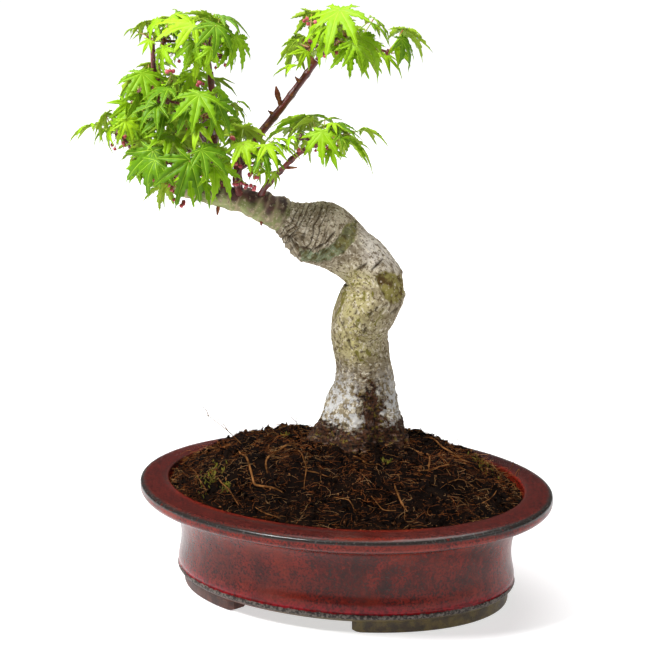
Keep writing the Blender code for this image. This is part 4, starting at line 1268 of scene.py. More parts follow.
def bark_shape(p, _, length):
    """How far the trunk's bark stands out, in millimetres, and its marks in the order of MARKS.

    The scars and slits are at the front only.
    """
    x, z = p.x / MM, p.z / MM
    coarse = soft_step(z, 152, 112)
    collar = soft_step(x, -2, -12) * soft_step(z, 172, 184)
    up = rough(p, 21, 2) * 1.0 + rough(p, 9, 6) * 0.55
    plates = abs(rough((p.x, p.y, p.z * 0.6), 4.2, 11))
    crumbly = abs(rough(p, 2.1, 7)) * 0.75 + abs(rough(p, 1.25, 13)) * 0.5
    up += (0.3 - plates) * (0.4 + 1.0 * coarse) + (0.3 - crumbly) * (0.6 + 1.1 * coarse)
    for middle, reach, height in SWELLINGS:
        up += height * math.exp(-(patch(p, middle, reach) ** 2))
    # folds pushed up round the foot of the limb
    phase = length / MM * 2.1 + 5.0 * rough(p, 11, 5) + 1.4 * rough(p, 4, 8)
    fold = math.sin(phase) * 0.32 + math.sin(phase * 2.3 + 1.0) * 0.24 + rough(p, 2.4, 4) * 0.35
    up += collar * fold
    # painted shade: darker in the valleys of the folds round the foot of the limb
    crease = collar * soft_step(fold, -0.12, -0.42) * 0.8
    scar = age = 0.0
    if p.y < 0:
        ragged = 0.9 * rough(p, 3.4, 21) + 0.5 * rough(p, 1.4, 2)
        for corners, depth, years in SCARS:
            inside = within(x, z, corners) + ragged
            share = soft_step(inside, -0.25, 0.35)
            if share > scar:
                scar, age = share, years
            rolled = 0.5 * math.exp(-(((inside + 0.7) / 0.6) ** 2))
            up += rolled - (depth + crumbly * 0.3) * soft_step(inside, -0.3, 0.8)
        for (mx, mz), (hx, hz), half, depth, width in SLITS:
            size = math.hypot(hx, hz)
            along = ((x - mx) * hx + (z - mz) * hz) / size
            away = abs((x - mx) * hz - (z - mz) * hx) / size + 0.3 * abs(rough(p, 1.6, 33))
            if abs(along) < half and away < 4:
                taper = 1 - (along / half) ** 2
                cut = math.exp(-((away / (width * (0.35 + 0.65 * taper))) ** 2)) * min(1.0, 2 * taper)
                up -= depth * cut
                # the slits' cuts carry painted shade as well
                crease = max(crease, cut)
    crust = soft_step(z, 86, 95) * soft_step(z, 126, 102)
    aside = x - 12.5 - 0.12 * (110 - z) + 3.2 * rough(p, 5, 14)
    groove = math.exp(-((aside / 6.6) ** 2)) * soft_step(p.y / MM, 8, 0)
    furrow = math.exp(-(((x - 13.5 - 0.12 * (110 - z)) / 7.5) ** 2))
    up -= (1.1 + 1.5 * abs(rough(p, 4, 3))) * furrow * soft_step(z, 122, 100)
    stain = max(soft_step(z, 99, 84), 1.1 * groove * soft_step(z, 126, 96))
    moss = math.exp(-(((x - 5) / 12) ** 2)) * (p.y < 0) * soft_step(z, 117, 133) * soft_step(z, 180, 164)
    # paler on the elbow's right side: smoother bark, lightened further by a painted highlight where the
    # light falls
    smooth = soft_step(x, 4, 12) * soft_step(z, 166, 176) * soft_step(collar, 0.5, 0.0)
    return up, (scar, crust * (1 - 0.9 * groove), stain, moss, crease, age, smooth, coarse)


def skin(stations, sides, per_span, base, shape):
    """A limb's skin: base scales its radius as its solid does, and shape adds the bark's relief.

    Returns the rings, the marks at every point and the points of the straightened limb.
    """
    points, radii = smooth_chain(stations, per_span)
    rings = tube_rings(points, radii, sides, base)
    marks, laid = [], []
    length = 0.0
    middle_radius = sum(radii) / len(radii)
    for k, ring in enumerate(rings):
        if k:
            length += (points[k] - points[k - 1]).length
        for i, p in enumerate(ring):
            angle = math.tau * i / sides
            out = (p - points[k]).normalized()
            up, mark = shape(p, out, length)
            ring[i] = p + out * up * MM
            marks.append(mark)
            laid.append((middle_radius * math.cos(angle), middle_radius * math.sin(angle), length))
    return rings, marks, laid


MARKS = ("scar", "crust", "stain", "moss", "crease", "age", "smooth", "coarse")


def old_bark():
    """Weathered maple bark: a thin, corky rind, pale on the elbow's right side as smooth bark with a
    painted highlight on it, pitted with brown, green where it is young, limy above the soil, and wet and
    earthy at the very foot."""
    made, tree, shader = new_material("weathered_maple_bark", Roughness=0.88, Specular_IOR_Level=0.2)
    place = add(tree, "ShaderNodeTexCoord").outputs["Object"]
    grain = add(tree, "ShaderNodeAttribute", attribute_name="grain_place").outputs["Vector"]
    scar, crust, stain, moss, crease, age, smooth, coarse = [
        add(tree, "ShaderNodeAttribute", attribute_name=name).outputs["Fac"] for name in MARKS]
    colour = mixed(tree, blotches(tree, grain, 9, 0.38, 0.62, 5), "#8B7F69", "#B1A68F")
    colour = mixed(tree, times(tree, coarse, 0.6), colour, "#7A6C50")
    # the pale patch on the elbow's right side: partly smooth bark, partly a painted highlight
    pale = mixed(tree, blotches(tree, place, 8, 0.4, 0.6, 4), "#B2A99C", "#C9C1B5")
    colour = mixed(tree, smooth, colour, pale)
    tint = times(tree, moss, blotches(tree, grain, 8, 0.25, 0.5, 4))
    colour = mixed(tree, times(tree, tint, 0.9), colour, "#B5AB74")
    # light flakes and brown pits of the corky rind
    colour = spotted(tree, colour, "#D6CDB8", 0.75, grain, 2.0, 0.54, 0.62, 4)
    colour = spotted(tree, colour, "#57462E", 0.85, grain, 1.6, 0.51, 0.58, 5, rough=0.72)
    colour = spotted(tree, colour, "#6F6046", 0.5, place, 5, 0.52, 0.66, 6)
    algae = blotches(tree, grain, 3.0, 0.57, 0.64, 3, (1, 1, 0.55))
    olive = times(tree, algae, level(tree, moss, 0.05, 0.5))
    colour = mixed(tree, times(tree, olive, 0.85), colour, "#6C6620")
    limy = times(tree, crust, blotches(tree, grain, 2.4, 0.46, 0.54, 6, rough=0.7))
    colour = mixed(tree, times(tree, limy, 0.88), colour, "#C6C6C6")
    fresh = mixed(tree, blotches(tree, place, 4, 0.4, 0.62, 5), "#8C8348", "#4F3D1E")
    grown = mixed(tree, blotches(tree, place, 3, 0.4, 0.62, 5), "#8A9678", "#5E5A38")
    wood = mixed(tree, age, fresh, grown)
    wood = spotted(tree, wood, "#B5AA93", 0.8, place, 1.9, 0.6, 0.66, 3)
    colour = mixed(tree, scar, colour, wood)
    # painted shade in the valleys of the collar's folds and in the slits
    colour = mixed(tree, times(tree, crease, 0.85), colour, "#35281A")
    wet = mixed(tree, blotches(tree, place, 1.7, 0.4, 0.62, 6, rough=0.7), "#120A06", "#4A2B17")
    wet = spotted(tree, wet, "#7D675C", 0.7, grain, 2.2, 0.54, 0.66, 5, rough=0.7)
    green = times(tree, blotches(tree, place, 3.0, 0.54, 0.64, 6, rough=0.7), level(tree, stain, 0.1, 0.6))
    wet = mixed(tree, times(tree, green, 0.75), wet, "#6E5E1C")
    damp = times(tree, blotches(tree, grain, 2.6, 0.3, 0.7, 6, rough=0.7), 0.75)
    soaked = level(tree, plus(tree, stain, damp), 0.62, 1.0)
    colour = mixed(tree, soaked, colour, wet)
    tree.links.new(colour, shader.inputs["Base Color"])
    cork = add(tree, "ShaderNodeTexNoise", {"Vector": grain, "Scale": 1 / (1.1 * MM), "Detail": 6.0,
                                            "Roughness": 0.7})
    relief(tree, shader, cork.outputs[0], 0.7)
    return made


def make_trunk():
    rings, marks, laid = skin(TRUNK + COLLAR, BARK_SIDES, 24, trunk_relief, bark_shape)
    made = piece("trunk_bark", *loft(rings), [old_bark()], TREE)
    for name, values in zip(MARKS, zip(*marks)):
        paint(made, name, values)
    flow(made, laid)
    return ready(made, "bark", "trunk")


# The limb's old ring scars: place across, height, and how much their top leans to the trunk.
RINGS = ((-35.5, 0.55, 0.3), (-41.0, 0.4, 0.7), (-44.5, 0.9, 0.9), (-53.0, 0.5, 0.5), (-58.5, 0.7, -0.2),
         (-66.5, 0.6, 0.4), (-79.0, 0.5, 0.3))


def limb_shape(p, out, length):
    """The leaning limb: smooth young bark with old ring scars, and humps between them."""
    x = p.x / MM
    up = rough(p, 12, 3) * 0.7 + rough(p, 4, 9) * 0.3 + rough(p, 1.4, 5) * 0.12
    ring = 0.0
    for place, height, lean in RINGS:
        away = x - place - lean * out.z * 6 - 1.6 * rough(p, 7, 15)
        worn = 0.45 + 0.9 * abs(rough(p, 5, 19))
        ring = max(ring, worn * math.exp(-((away / 0.5) ** 2)))
        up += height * math.exp(-((away / 1.7) ** 2)) - 0.35 * worn * math.exp(-((away / 0.4) ** 2))
    up += 0.55 * max(0.0, out.z) * math.sin((x + 33) / 8.5 * math.tau) * soft_step(x, -58, -50)
    near = soft_step(x, -36, -28)
    phase = length / MM * 2.6 + 2.6 * rough(p, 10, 5)
    up += near * 0.35 * math.sin(phase)
    hump = 0.22 * math.sin((x + 33) / 8.5 * math.tau + 1.5 * rough(p, 9, 31))
    top = soft_step(out.z + hump + 0.7 * rough(p, 8, 6) - 0.25 * out.y, 0.05, 0.6)
    # the last mark is painted shade in the valleys of the folds near the collar
    return up, (ring, top, near, near * soft_step(math.sin(phase), -0.3, -0.9))


LIMB_MARKS = ("ring", "sunny_side", "collar", "crease")


def young_bark():
    """Bark of a limb a few years old: thin and smooth, grey-green below and flushed purple-brown
    where the sun has caught it, ringed by the scars of past buds."""
    made, tree, shader = new_material("young_maple_bark", Roughness=0.6, Specular_IOR_Level=0.3)
    grain = add(tree, "ShaderNodeAttribute", attribute_name="grain_place").outputs["Vector"]
    ring, top, collar, crease = [
        add(tree, "ShaderNodeAttribute", attribute_name=name).outputs["Fac"] for name in LIMB_MARKS]
    green = mixed(tree, blotches(tree, grain, 7, 0.38, 0.62, 4, (1, 1, 0.5)), "#6E7440", "#939963")
    green = spotted(tree, green, "#8B7B63", 0.8, grain, 3.4, 0.5, 0.62, 5)
    green = spotted(tree, green, "#BBA88B", 0.7, grain, 2.1, 0.58, 0.66, 4)
    purple = mixed(tree, blotches(tree, grain, 4, 0.4, 0.6, 4), "#35201F", "#573A34")
    flush = times(tree, top, blotches(tree, grain, 8, 0.3, 0.46, 4))
    colour = mixed(tree, flush, green, purple)
    colour = mixed(tree, times(tree, collar, blotches(tree, grain, 4, 0.42, 0.6, 4)), colour, "#9C8F76")
    colour = mixed(tree, times(tree, ring, 0.75), colour, "#B09C7C")
    colour = mixed(tree, times(tree, level(tree, ring, 0.75, 1.0), 0.8), colour, "#3F3022")
    # painted shade in the valleys of the folds near the collar
    colour = mixed(tree, times(tree, crease, 0.7), colour, "#4A3A28")
    colour = spotted(tree, colour, "#B7AB90", 0.6, grain, 1.2, 0.6, 0.68, 3)
    tree.links.new(colour, shader.inputs["Base Color"])
    skin_lines = add(tree, "ShaderNodeTexNoise", {
        "Vector": add(tree, "ShaderNodeMapping", {"Vector": grain, "Scale": (1, 1, 2.2)}).outputs[0],
        "Scale": 1 / (1.6 * MM), "Detail": 4.0})
    relief(tree, shader, skin_lines.outputs[0], 0.35)
    return made


def make_limb():
    rings, marks, laid = skin(MAIN_LIMB, 72, 18, None, limb_shape)
    made = piece("main_limb_bark", *loft(rings), [young_bark()], TREE)
    for name, values in zip(LIMB_MARKS, zip(*marks)):
        paint(made, name, values)
    flow(made, laid)
    return ready(made, "green_bark", "main_limb")


def shoot_bark():
    """Last year's maple shoots: smooth, waxy, dark red to purple-brown, with pale breathing pores."""
    made, tree, shader = new_material(
        "waxy_red_shoot", Roughness=0.42, Coat_Weight=0.15, Coat_Roughness=0.3)
    grain = add(tree, "ShaderNodeAttribute", attribute_name="grain_place").outputs["Vector"]
    ring = add(tree, "ShaderNodeAttribute", attribute_name="ring").outputs["Fac"]
    colour = mixed(tree, blotches(tree, grain, 6, 0.35, 0.65, 3, (1, 1, 0.4)), "#4C1B18", "#752B22")
    colour = spotted(tree, colour, "#2E1512", 0.5, grain, 4, 0.5, 0.68, 3, (1, 1, 0.3))
    pores = blotches(tree, grain, 0.9, 0.64, 0.7, 2, (1, 1, 0.5))
    colour = mixed(tree, times(tree, pores, 0.7), colour, "#B08870")
    colour = mixed(tree, times(tree, ring, 0.6), colour, "#2A1410")
    tree.links.new(colour, shader.inputs["Base Color"])
    skin_lines = add(tree, "ShaderNodeTexNoise", {"Vector": grain, "Scale": 1 / (1.2 * MM), "Detail": 3.0})
    relief(tree, shader, skin_lines.outputs[0], 0.12)
    return made


# Where each shoot is jointed, in millimetres from its foot.
JOINTS = {
    "long_shoot": (9, 21, 34, 47, 61, 74), "upright_shoot": (8, 19, 31, 42, 53, 60),
    "low_shoot": (6, 14, 23, 31), "inner_branch": (7, 17, 27, 38, 50, 60),
}
# Buds and spurs that stand off the wood: foot and tip in the tree's frame, radius at each, in mm.
SPURS = (
    ((-32.0, 4.0, 252.2), (-33.7, 3.2, 257.4), 1.25, 1.0),
    ((-33.6, 3.2, 256.4), (-34.7, 2.6, 262.6), 1.35, 0.45),
    ((-35.2, 2.5, 247.8), (-38.8, 1.4, 250.6), 0.95, 0.3),
    ((-27.8, 5.4, 256.6), (-26.0, 3.0, 259.8), 0.9, 0.3),
    ((-40.6, 1.0, 241.8), (-38.2, -1.2, 245.2), 0.9, 0.3),
    ((-22.6, 7.2, 263.6), (-25.2, 5.6, 267.0), 0.9, 0.3),
    ((-15.8, 9.4, 272.6), (-18.4, 7.6, 279.2), 1.3, 0.5),
    ((-30.8, -12.6, 224.2), (-24.0, -13.4, 224.4), 0.75, 0.3),
    ((-36.8, -11.0, 217.6), (-39.0, -12.6, 220.4), 0.75, 0.25),
    ((-41.9, -7.0, 198.0), (-42.3, -8.6, 193.9), 1.0, 0.35),
    ((-63.8, -4.0, 203.4), (-64.4, -5.6, 198.7), 0.9, 0.35),
    ((-66.4, 1.4, 236.4), (-69.6, 0.0, 239.4), 1.2, 0.4),
)


def shoot_shape(joints):
    def shape(p, _, length):
        up = rough(p, 5, 3) * 0.10 + rough(p, 2, 8) * 0.05
        ring = 0.0
        for place in joints:
            away = length / MM - place
            up += 0.42 * math.exp(-((away / 1.3) ** 2)) - 0.14 * math.exp(-((away / 0.4) ** 2))
            ring = max(ring, math.exp(-((away / 0.5) ** 2)))
        return up, (ring,)
    return shape


def make_shoots(finish):
    for name, (stations, _, _) in BOUGHS.items():
        if name == "main_limb":
            continue
        joints = JOINTS.get(name, (5, 12))
        rings, marks, laid = skin(stations, 22, 14, None, shoot_shape(joints))
        made = piece(f"{name}_bark", *loft(rings), [finish], TREE)
        paint(made, "ring", [m[0] for m in marks])
        flow(made, laid)
        ready(made, "red_bark", name)


def bud_shell(foot, tip, first, last):
    """A pointed bud or spur, fullest a third of the way up."""
    path = [foot.lerp(tip, t) for t in (0, 0.15, 0.35, 0.6, 0.85, 1)]
    radii = [first * 0.8, first, first * 1.12, first * 0.9, last * 1.4, last]
    return loft(tube_rings(path, radii, 10))


def bud_finish():
    """Winter bud scales: dry, tan to red-brown, with no shine."""
    made, tree, shader = new_material("dry_bud_scale", Roughness=0.7, Specular_IOR_Level=0.2)
    place = add(tree, "ShaderNodeTexCoord").outputs["Object"]
    colour = mixed(tree, blotches(tree, place, 2.5, 0.4, 0.6, 3, (1, 1, 0.5)), "#6B3324", "#9A6440")
    tree.links.new(colour, shader.inputs["Base Color"])
    return made


def make_spurs():
    shells = [bud_shell(Vector(a) * MM, Vector(b) * MM, r * MM, s * MM) for a, b, r, s in SPURS]
    ready(piece("buds_and_spurs", *joined(shells), [bud_finish()], TREE), "red_bark")


# ----------------------------------------------------------------------------------------- the leaves

BLADE = 0.25 * MM  # thickness of a leaf
FOLD = 0.62  # how far a lobe's edges stand above its rib, as a share of their distance from it
PLEAT = 0.016  # height of the pleats between side veins, as a share of the leaf's length
FINE_LOBE = 0.126  # half the width of a lobe, which is narrower than its plain solid's
FINE_NOTCH = 0.33
TOOTH = 0.2
VEIN = 0.0105  # half the width of a lobe's pale rib, at its foot
# lobes of the smaller leaves, as (degrees from the middle lobe, length)
HALF_GROWN_LOBES = ((0, 1.0), (38, 0.9), (80, 0.6))
YOUNG_LOBES = ((0, 1.0), (42, 0.85), (88, 0.5))


def leaf_net(lobes, inner, outer, teeth):
    """A flat leaf of length 1 as a net of points, with its faces and the loop of its edge.

    Each point also says which lobe it is on, how far along that lobe's rib and how far off it.
    """
    spokes = [(-a, s) for a, s in reversed(lobes[1:])] + list(lobes)
    gaps = [(-180, LEAF_BASE)]
    for (a, s), (b, t) in zip(spokes, spokes[1:]):
        gaps.append(((a + b) / 2, FINE_NOTCH * (s + t) / 2))
    gaps.append((180, LEAF_BASE))
    points, notes = [(0.0, 0.0)], [(0, 0.0, 0.0)]

    def point(degrees, along, off, lobe):
        a = math.radians(degrees)
        points.append((along * math.cos(a) - off * math.sin(a), along * math.sin(a) + off * math.cos(a)))
        notes.append((lobe, along, abs(off)))
        return len(points) - 1

    notch = []
    for g, (degrees, depth) in enumerate(gaps):
        if g == len(gaps) - 1:
            notch.append(notch[0])
            continue
        lobe = min(g, len(spokes) - 1)
        away = math.radians(degrees - spokes[lobe][0])
        row = []
        for j in range(1, inner + 1):
            d = depth * j / inner
            row.append(point(spokes[lobe][0], d * math.cos(away), d * math.sin(away), lobe))
        notch.append(row)
    faces, pale, rim = [], [], []
    for k, (degrees, length) in enumerate(spokes):
        ribs, sides = [], []
        starts = []
        for side, g in ((-1, k), (1, k + 1)):
            away = math.radians(gaps[g][0] - degrees)
            starts.append((abs(gaps[g][1] * math.cos(away)) if g not in (0, len(gaps) - 1) else 0.02,
                           abs(gaps[g][1] * math.sin(away))))
        mean_start = max(0.04, sum(s for s, _ in starts) / 2)
        for j in range(1, inner + outer + 1):
            along = mean_start * j / inner if j <= inner else (
                mean_start + (length - mean_start) * (j - inner) / outer)
            ribs.append(point(degrees, along, 0.0, k))
        for (side, g), (start, wide) in zip(((-1, k), (1, k + 1)), starts):
            edge = []
            for j in range(1, outer):
                t = j / outer
                along = start + (length - start) * t
                s = along / length
                if s < SHOULDER:
                    share = (along - start) / max(SHOULDER * length - start, 1e-6)
                    half = wide + (FINE_LOBE * length - wide) * math.sin(share * math.pi / 2)
                else:
                    half = FINE_LOBE * length * (1 - (s - SHOULDER) / (1 - SHOULDER)) ** 1.25
                if teeth:
                    half *= 1 + TOOTH if j % 2 else 1 - TOOTH
                    along += (0.45 if j % 2 else -0.15) * (length - start) / outer
                edge.append(point(degrees, along, side * half, k))
            sides.append(edge)
        for side, row, edge in ((-1, notch[k], sides[0]), (1, notch[k + 1], sides[1])):
            rib = [0] + ribs
            out = [0] + row + edge + [ribs[-1]]
            along = [notes[n][1] for n in ribs[:-1]]
            flank = [point(degrees, a, side * VEIN * (1 - 0.75 * a / length), k) for a in along]
            vein = [0] + flank + [ribs[-1]]
            for one, other, is_vein in ((rib, vein, 1), (vein, out, 0)):
                for j in range(len(rib) - 1):
                    face = [one[j], one[j + 1], other[j + 1], other[j]]
                    face = [p for n, p in enumerate(face) if p not in face[:n]]
                    faces.append(tuple(face if side > 0 else reversed(face)))
                    pale.append(is_vein)
        rim += [notch[k][-1]] + sides[0] + [ribs[-1]] + sides[1][::-1]
    return np.array(points), notes, faces, pale, rim


FULL_LEAF = leaf_net(LOBES, 2, 9, True)
HALF_GROWN_LEAF = leaf_net(HALF_GROWN_LOBES, 2, 6, True)
YOUNG_LEAF = leaf_net(YOUNG_LOBES, 1, 3, False)


def leaf_mesh(net, place, length, rng):
    """One leaf, each lobe drooping, folding and turning a little in its own way, as a thin shell.

    Returns its points, its faces and what each face is: 0 blade, 1 pale rib, 2 underside.
    """
    flat, notes, faces, pale, rim = net
    lobes = max(n[0] for n in notes) + 1
    droop = [LEAF_DROOP * rng.uniform(0.75, 1.25) for _ in range(lobes)]
    curl = [rng.uniform(0.0, 0.16) for _ in range(lobes)]
    sway = [rng.uniform(-0.09, 0.09) for _ in range(lobes)]
    fold = FOLD * rng.uniform(0.5, 1.3)
    wave = rng.uniform(0, math.tau)
    beat = math.tau / 0.17
    top = []
    for (x, y), (lobe, along, off) in zip(flat, notes):
        reach = math.hypot(x, y)
        turn = sway[lobe] * along**2
        x, y = x - y * turn, y + x * turn
        z = -droop[lobe] * reach**2 - curl[lobe] * along**4 + fold * off
        z += 0.014 * math.sin(9 * along + wave + 2.0 * lobe)
        z += PLEAT * math.sin(beat * (along - 0.6 * off)) * min(1.0, off / 0.05)
        top.append(place @ (Vector((x, y, z)) * length))
    up = (place.to_3x3() @ Vector((0, 0, 1))).normalized() * BLADE
    count = len(top)
    shell = top + [p - up for p in top]
    made = list(faces) + [tuple(count + i for i in (face[0], *reversed(face[1:]))) for face in faces]
    for a, b in zip(rim, rim[1:] + rim[:1]):
        made.append((a, count + a, count + b, b))
    return shell, made, pale + [2] * (len(made) - len(faces))


def leaf_finish(name, colour):
    """Spring leaves of a maple: thin, soft and satiny, bright yellow-green, with the light that shines
    through them painted into their colour.
    """
    made, _, _ = new_material(name, Roughness=0.5, Specular_IOR_Level=0.16, Base_Color=srgb(colour))
    return made


def young_leaves(rng, space, bud, along, leaf_length):
    """A last pair of small leaves opening between a bud's larger ones."""
    u, v = across(along)
    start = rng.uniform(0, math.tau)
    found = []
    for number in range(3):
        for _ in range(6):
            around = start + number * 2.2 + rng.uniform(-0.5, 0.5)
            way = along * 0.75 + (u * math.cos(around) + v * math.sin(around)) * 0.65
            way = (way + Vector((0, 0, rng.uniform(0.0, 0.5)))).normalized()
            foot = bud + way * STALK_LENGTH * rng.uniform(0.3, 0.8)
            length = leaf_length * MM * rng.uniform(0.3, 0.6)
            pitch, roll = math.radians(rng.uniform(5, 75)), math.radians(rng.gauss(0, 30))
            place = leaf_place(foot, way, pitch, roll)
            shell = leaf_shell(place, length, 1.0 * MM)
            if space.holds(shell[0]) and space.is_free(shell, sticks=True):
                space.blocked.append(tree_of([shell]))
                found.append((place, length, [bud, foot]))
                break
    return found


def make_foliage(tints, rib, underside, wood_finish, stalk_finish):
    """Each mass's blades as one piece, and the twigs, leaf stalks and blossom of all."""
    grown = grow_all()
    rooms = finer_rooms(grown)
    twigs, stalks, blossom = [], [], []
    for number, (mass, (wood, leaves, flowers)) in enumerate(grown.items()):
        leaf_length = MASSES[mass][3]
        rng = random.Random(100 + number)
        room = rooms[mass]
        stem = stem_of(MASSES[mass])
        shells, kinds = [], []
        spray = rng.random()

        def put(net, place, length, stalk, lightness):
            points, faces, parts = leaf_mesh(net, place, length, rng)
            # the tint a leaf draws: partly its tone, partly painted light and shade
            share = spray * 0.45 + rng.random() * 0.75 - lightness
            tint = int(max(0.0, min(0.999, share)) * len(tints))
            shells.append((points, faces))
            kinds.extend((tint, len(tints), len(tints) + 1)[part] for part in parts)
            bend = stalk[0].lerp(stalk[-1], 0.55) + Vector((0, 0, -0.06 * (stalk[0] - stalk[-1]).length))
            thick = 0.30 * MM + length * 0.009
            stalks.append(tapered_tube(smoothed([stalk[0], bend, stalk[-1]], 3), thick, thick * 0.7, 5))

        for place, length, stalk in leaves:
            put(FULL_LEAF, place, length * SCALE_OF_SOLID_LEAVES, stalk, 0.0)
        size = FINER_SIZE[mass]
        finer = [], [], []
        for seed in FINER_SEEDS[mass]:
            for kept, new in zip(finer, grow_bud(seed, room, stem, leaf_length * size)):
                kept.extend(new)
        pass_on(rooms, mass)
        for place, length, stalk in finer[1]:
            put(HALF_GROWN_LEAF, place, length, stalk, 0.1)
        for path, *_ in wood[1:] + finer[0]:
            along = (path[-1] - path[-2]).normalized()
            for place, length, stalk in young_leaves(rng, room, path[-1], along, leaf_length):
                put(YOUNG_LEAF, place, length, stalk, 0.35)
            bud = path[-1]
            twigs.append(bud_shell(bud - Vector((0, 0, 1.5 * MM)), bud + Vector((0, 0, 1.7 * MM)),
                                   1.25 * MM, 0.4 * MM))
        for path, first, last in wood + finer[0]:
            twigs.append(tapered_tube(smoothed(path, 4), first, last * 0.9, 7))
        blossom += flowers + finer[2]
        made = piece(f"{mass}_blades", *joined(shells), [*tints, rib, underside], TREE, facing=kinds)
        ready(made, "leaf", mass)
    for name, shells, finish in (("twigs", twigs, wood_finish), ("leaf_stalks", stalks, stalk_finish)):
        made = piece(name, *joined(shells), [finish], TREE)
        paint(made, "ring", [0.0] * len(made.data.vertices))
        flow(made, [v.co for v in made.data.vertices])
        ready(made, "red_bark" if name == "twigs" else "leaf")
    return blossom


def stalk_finish():
    """Leaf stalks: waxy and thin, yellow-green with a flush of red."""
    made, tree, shader = new_material("waxy_leaf_stalk", Roughness=0.45)
    place = add(tree, "ShaderNodeTexCoord").outputs["Object"]
    colour = mixed(tree, blotches(tree, place, 9, 0.42, 0.62), "#8DA83A", "#A5683C")
    tree.links.new(colour, shader.inputs["Base Color"])
    return made


def blossom_finish(name, one, other):
    """Maple blossom: soft petals, dull crimson to pink, with a little sheen."""
    made, tree, shader = new_material(name, Roughness=0.5, Sheen_Weight=0.2)
    place = add(tree, "ShaderNodeTexCoord").outputs["Object"]
    colour = mixed(tree, blotches(tree, place, 1.8, 0.4, 0.6), one, other)
    tree.links.new(colour, shader.inputs["Base Color"])
    return made


# Clusters of blossom: a middle in the tree's frame in millimetres, how wide it hangs and how many.
CLUSTERS = (
    ((-86.7, -16, 274.5), 1.8, 3), ((-73.6, -15, 268.8), 2.6, 5), ((-57, -16, 241.3), 1.8, 3),
    ((-51.5, -17, 218.5), 3.4, 8), ((-46.5, -17, 222.6), 2.4, 4), ((-45.4, -17, 216.0), 1.8, 3),
    ((-100.2, -12, 226.2), 1.8, 3), ((-95.7, -13, 225.2), 1.6, 2), ((-87.7, -15, 216.4), 2.0, 4),
    ((-85.1, -15, 209.1), 1.8, 3), ((-81.1, -15, 207.4), 1.8, 3), ((-111.6, -9, 240.7), 1.6, 2),
    ((-110.2, -9, 236.1), 1.5, 2), ((-19.3, -12, 299.6), 1.6, 2), ((-15.2, -12, 297.2), 1.6, 2),
)


def make_blossom(hanging, stalk):
    """Small cups hanging in clusters on thin stalks from the buds."""
    rng = random.Random(77)
    cups = [[], []]
    threads = []
    hung = [(berry, path[0]) for berry, path in hanging]
    for (x, y, z), wide, count in CLUSTERS:
        knot = Vector((x, y, z)) * MM
        for _ in range(count):
            off = Vector((rng.gauss(0, 0.5), rng.gauss(0, 0.5), -abs(rng.gauss(0.5, 0.4)))) * wide * MM
            hung.append((knot + off, knot + Vector((0, 0, wide * 0.25 * MM))))
    for berry, knot in hung:
        tilt = (Matrix.Rotation(rng.uniform(-0.7, 0.7), 3, "X")
                @ Matrix.Rotation(rng.uniform(-0.7, 0.7), 3, "Y"))
        radius = rng.uniform(0.8, 1.3) * MM
        cups[int(rng.random() < 0.35)].append(flower_shell(berry, radius, tilt))
        middle = knot.lerp(berry, 0.5) + Vector((0, 0, -0.4 * MM))
        held = berry + Vector((0, 0, radius * 0.8))
        threads.append(tapered_tube([knot, middle, held], 0.2 * MM, 0.16 * MM, 4))
    for name, shells, colours in (("blossom_crimson", cups[0], ("#8E2430", "#B5404A")),
                                  ("blossom_pink", cups[1], ("#C95E64", "#A63A3E"))):
        ready(piece(name, *joined(shells), [blossom_finish(name, *colours)], TREE), "leaf")
    ready(piece("blossom_threads", *joined(threads), [stalk], TREE), "leaf")


def flower_shell(middle, radius, tilt, petals=4):
    """A small hanging cup with a lobed rim."""
    rings = []
    for drop, wide in ((0.95, 0.25), (0.55, 0.8), (0.0, 1.0), (-0.55, 0.85), (-0.8, 0.35)):
        ring = []
        for i in range(petals * 2):
            angle = math.tau * i / (petals * 2)
            r = radius * wide * (1.12 if i % 2 else 0.86)
            ring.append(middle + tilt @ Vector((r * math.cos(angle), r * math.sin(angle), radius * drop)))
        rings.append(ring)
    return loft(rings)


# ------------------------------------------------------------------------------------------ the scene


def make_stage():
    mesh = bpy.data.meshes.new("floor")
    s = 6.0
    mesh.from_pydata([(-s, -s, 0), (s, -s, 0), (s, s, 0), (-s, s, 0)], [], [(0, 1, 2, 3)])
    floor = bpy.data.objects.new("floor", mesh)
    bpy.context.scene.collection.objects.link(floor)
    made, tree, shader = new_material(
        "lit_white_sweep", Roughness=0.9, Specular_IOR_Level=0.0, Base_Color=(0.66, 0.66, 0.66, 1),
        Emission_Color=(1, 1, 1, 1))
    # lit from behind towards the back, where the studio lamps no longer reach it
    place = add(tree, "ShaderNodeTexCoord").outputs["Object"]
    away = add(tree, "ShaderNodeVectorMath", {0: place}, operation="LENGTH").outputs["Value"]
    glow = add(tree, "ShaderNodeMapRange", {
        "Value": away, "From Min": 0.2, "From Max": 1.5, "To Min": 0.6, "To Max": 0.92}).outputs[0]
    tree.links.new(glow, shader.inputs["Emission Strength"])
    mesh.materials.append(made)


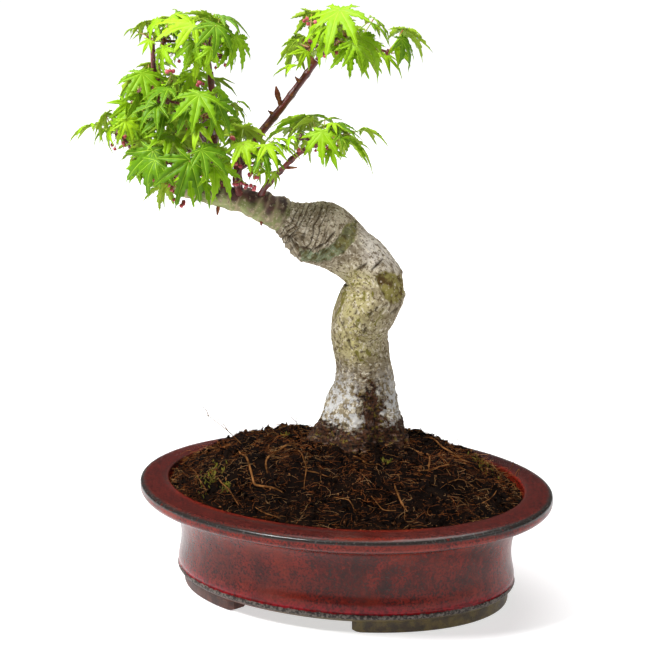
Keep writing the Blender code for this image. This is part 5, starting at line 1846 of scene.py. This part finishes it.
def make_light(name, spot, aim, size, watts, colour="#FFFFFF"):
    lamp = bpy.data.lights.new(name, "AREA")
    lamp.shape = "DISK"
    lamp.size = size
    lamp.energy = watts
    lamp.color = srgb(colour)[:3]
    made = bpy.data.objects.new(name, lamp)
    made.location = TREE @ (Vector(spot))
    made.rotation_euler = ((TREE @ Vector(aim)) - made.location).to_track_quat("-Z", "Y").to_euler()
    bpy.context.scene.collection.objects.link(made)


def make_camera():
    aim = Vector((-10.2, 0, 140.2)) * MM
    rise = math.radians(14.2)
    spot = aim + Vector((0, -math.cos(rise), math.sin(rise))) * 1400 * MM
    lens = bpy.data.cameras.new("view")
    lens.sensor_width = 36
    lens.lens = 152.03
    lens.clip_start = 0.05
    made = bpy.data.objects.new("view", lens)
    made.location = TREE @ spot
    made.rotation_euler = ((TREE @ aim) - made.location).to_track_quat("-Z", "Y").to_euler()
    bpy.context.scene.collection.objects.link(made)
    bpy.context.scene.camera = made


# The tints run from lit to shaded greens: partly the leaves' own tone, partly painted light and shade,
# drawn at random for each leaf.
LEAF_COLOURS = ("#8FB612", "#80AB0E", "#6E990C", "#57810A")  # lightest first; each leaf draws one
# Lights: name, place, the point that each faces, size in metres and power in watts.
LIGHTS = (("key", (-0.7, -0.35, 1.2), (0, 0, 0.15), 0.5, 31),
          ("fill", (1.0, -0.4, 0.7), (0, 0, 0.15), 0.8, 3.5),
          ("top", (0.1, 0.5, 1.3), (0, 0, 0.1), 1.0, 12))
WORLD_GLOW = 0.08

make_camera()
make_pot()
mound = make_mound()
scatter_soil(mound)
make_roots(mound)
make_moss(mound)
make_trunk()
make_limb()
red = shoot_bark()
make_shoots(red)
make_spurs()
tints = [leaf_finish(f"spring_leaf_tone_and_painted_shade_{k}", colour) for k, colour in enumerate(LEAF_COLOURS)]
rib = leaf_finish("leaf_rib", "#97B930")
underside = leaf_finish("leaf_underside", "#90AC2C")
stalk = stalk_finish()
make_blossom(make_foliage(tints, rib, underside, red, stalk), stalk)
make_stage()
for light in LIGHTS:
    make_light(*light)
world = bpy.data.worlds.new("studio")
world.use_nodes = True
world.node_tree.nodes["Background"].inputs["Color"].default_value = (1, 1, 1, 1)
world.node_tree.nodes["Background"].inputs["Strength"].default_value = WORLD_GLOW
bpy.context.scene.world = world
bpy.context.scene.view_settings.view_transform = "Standard"
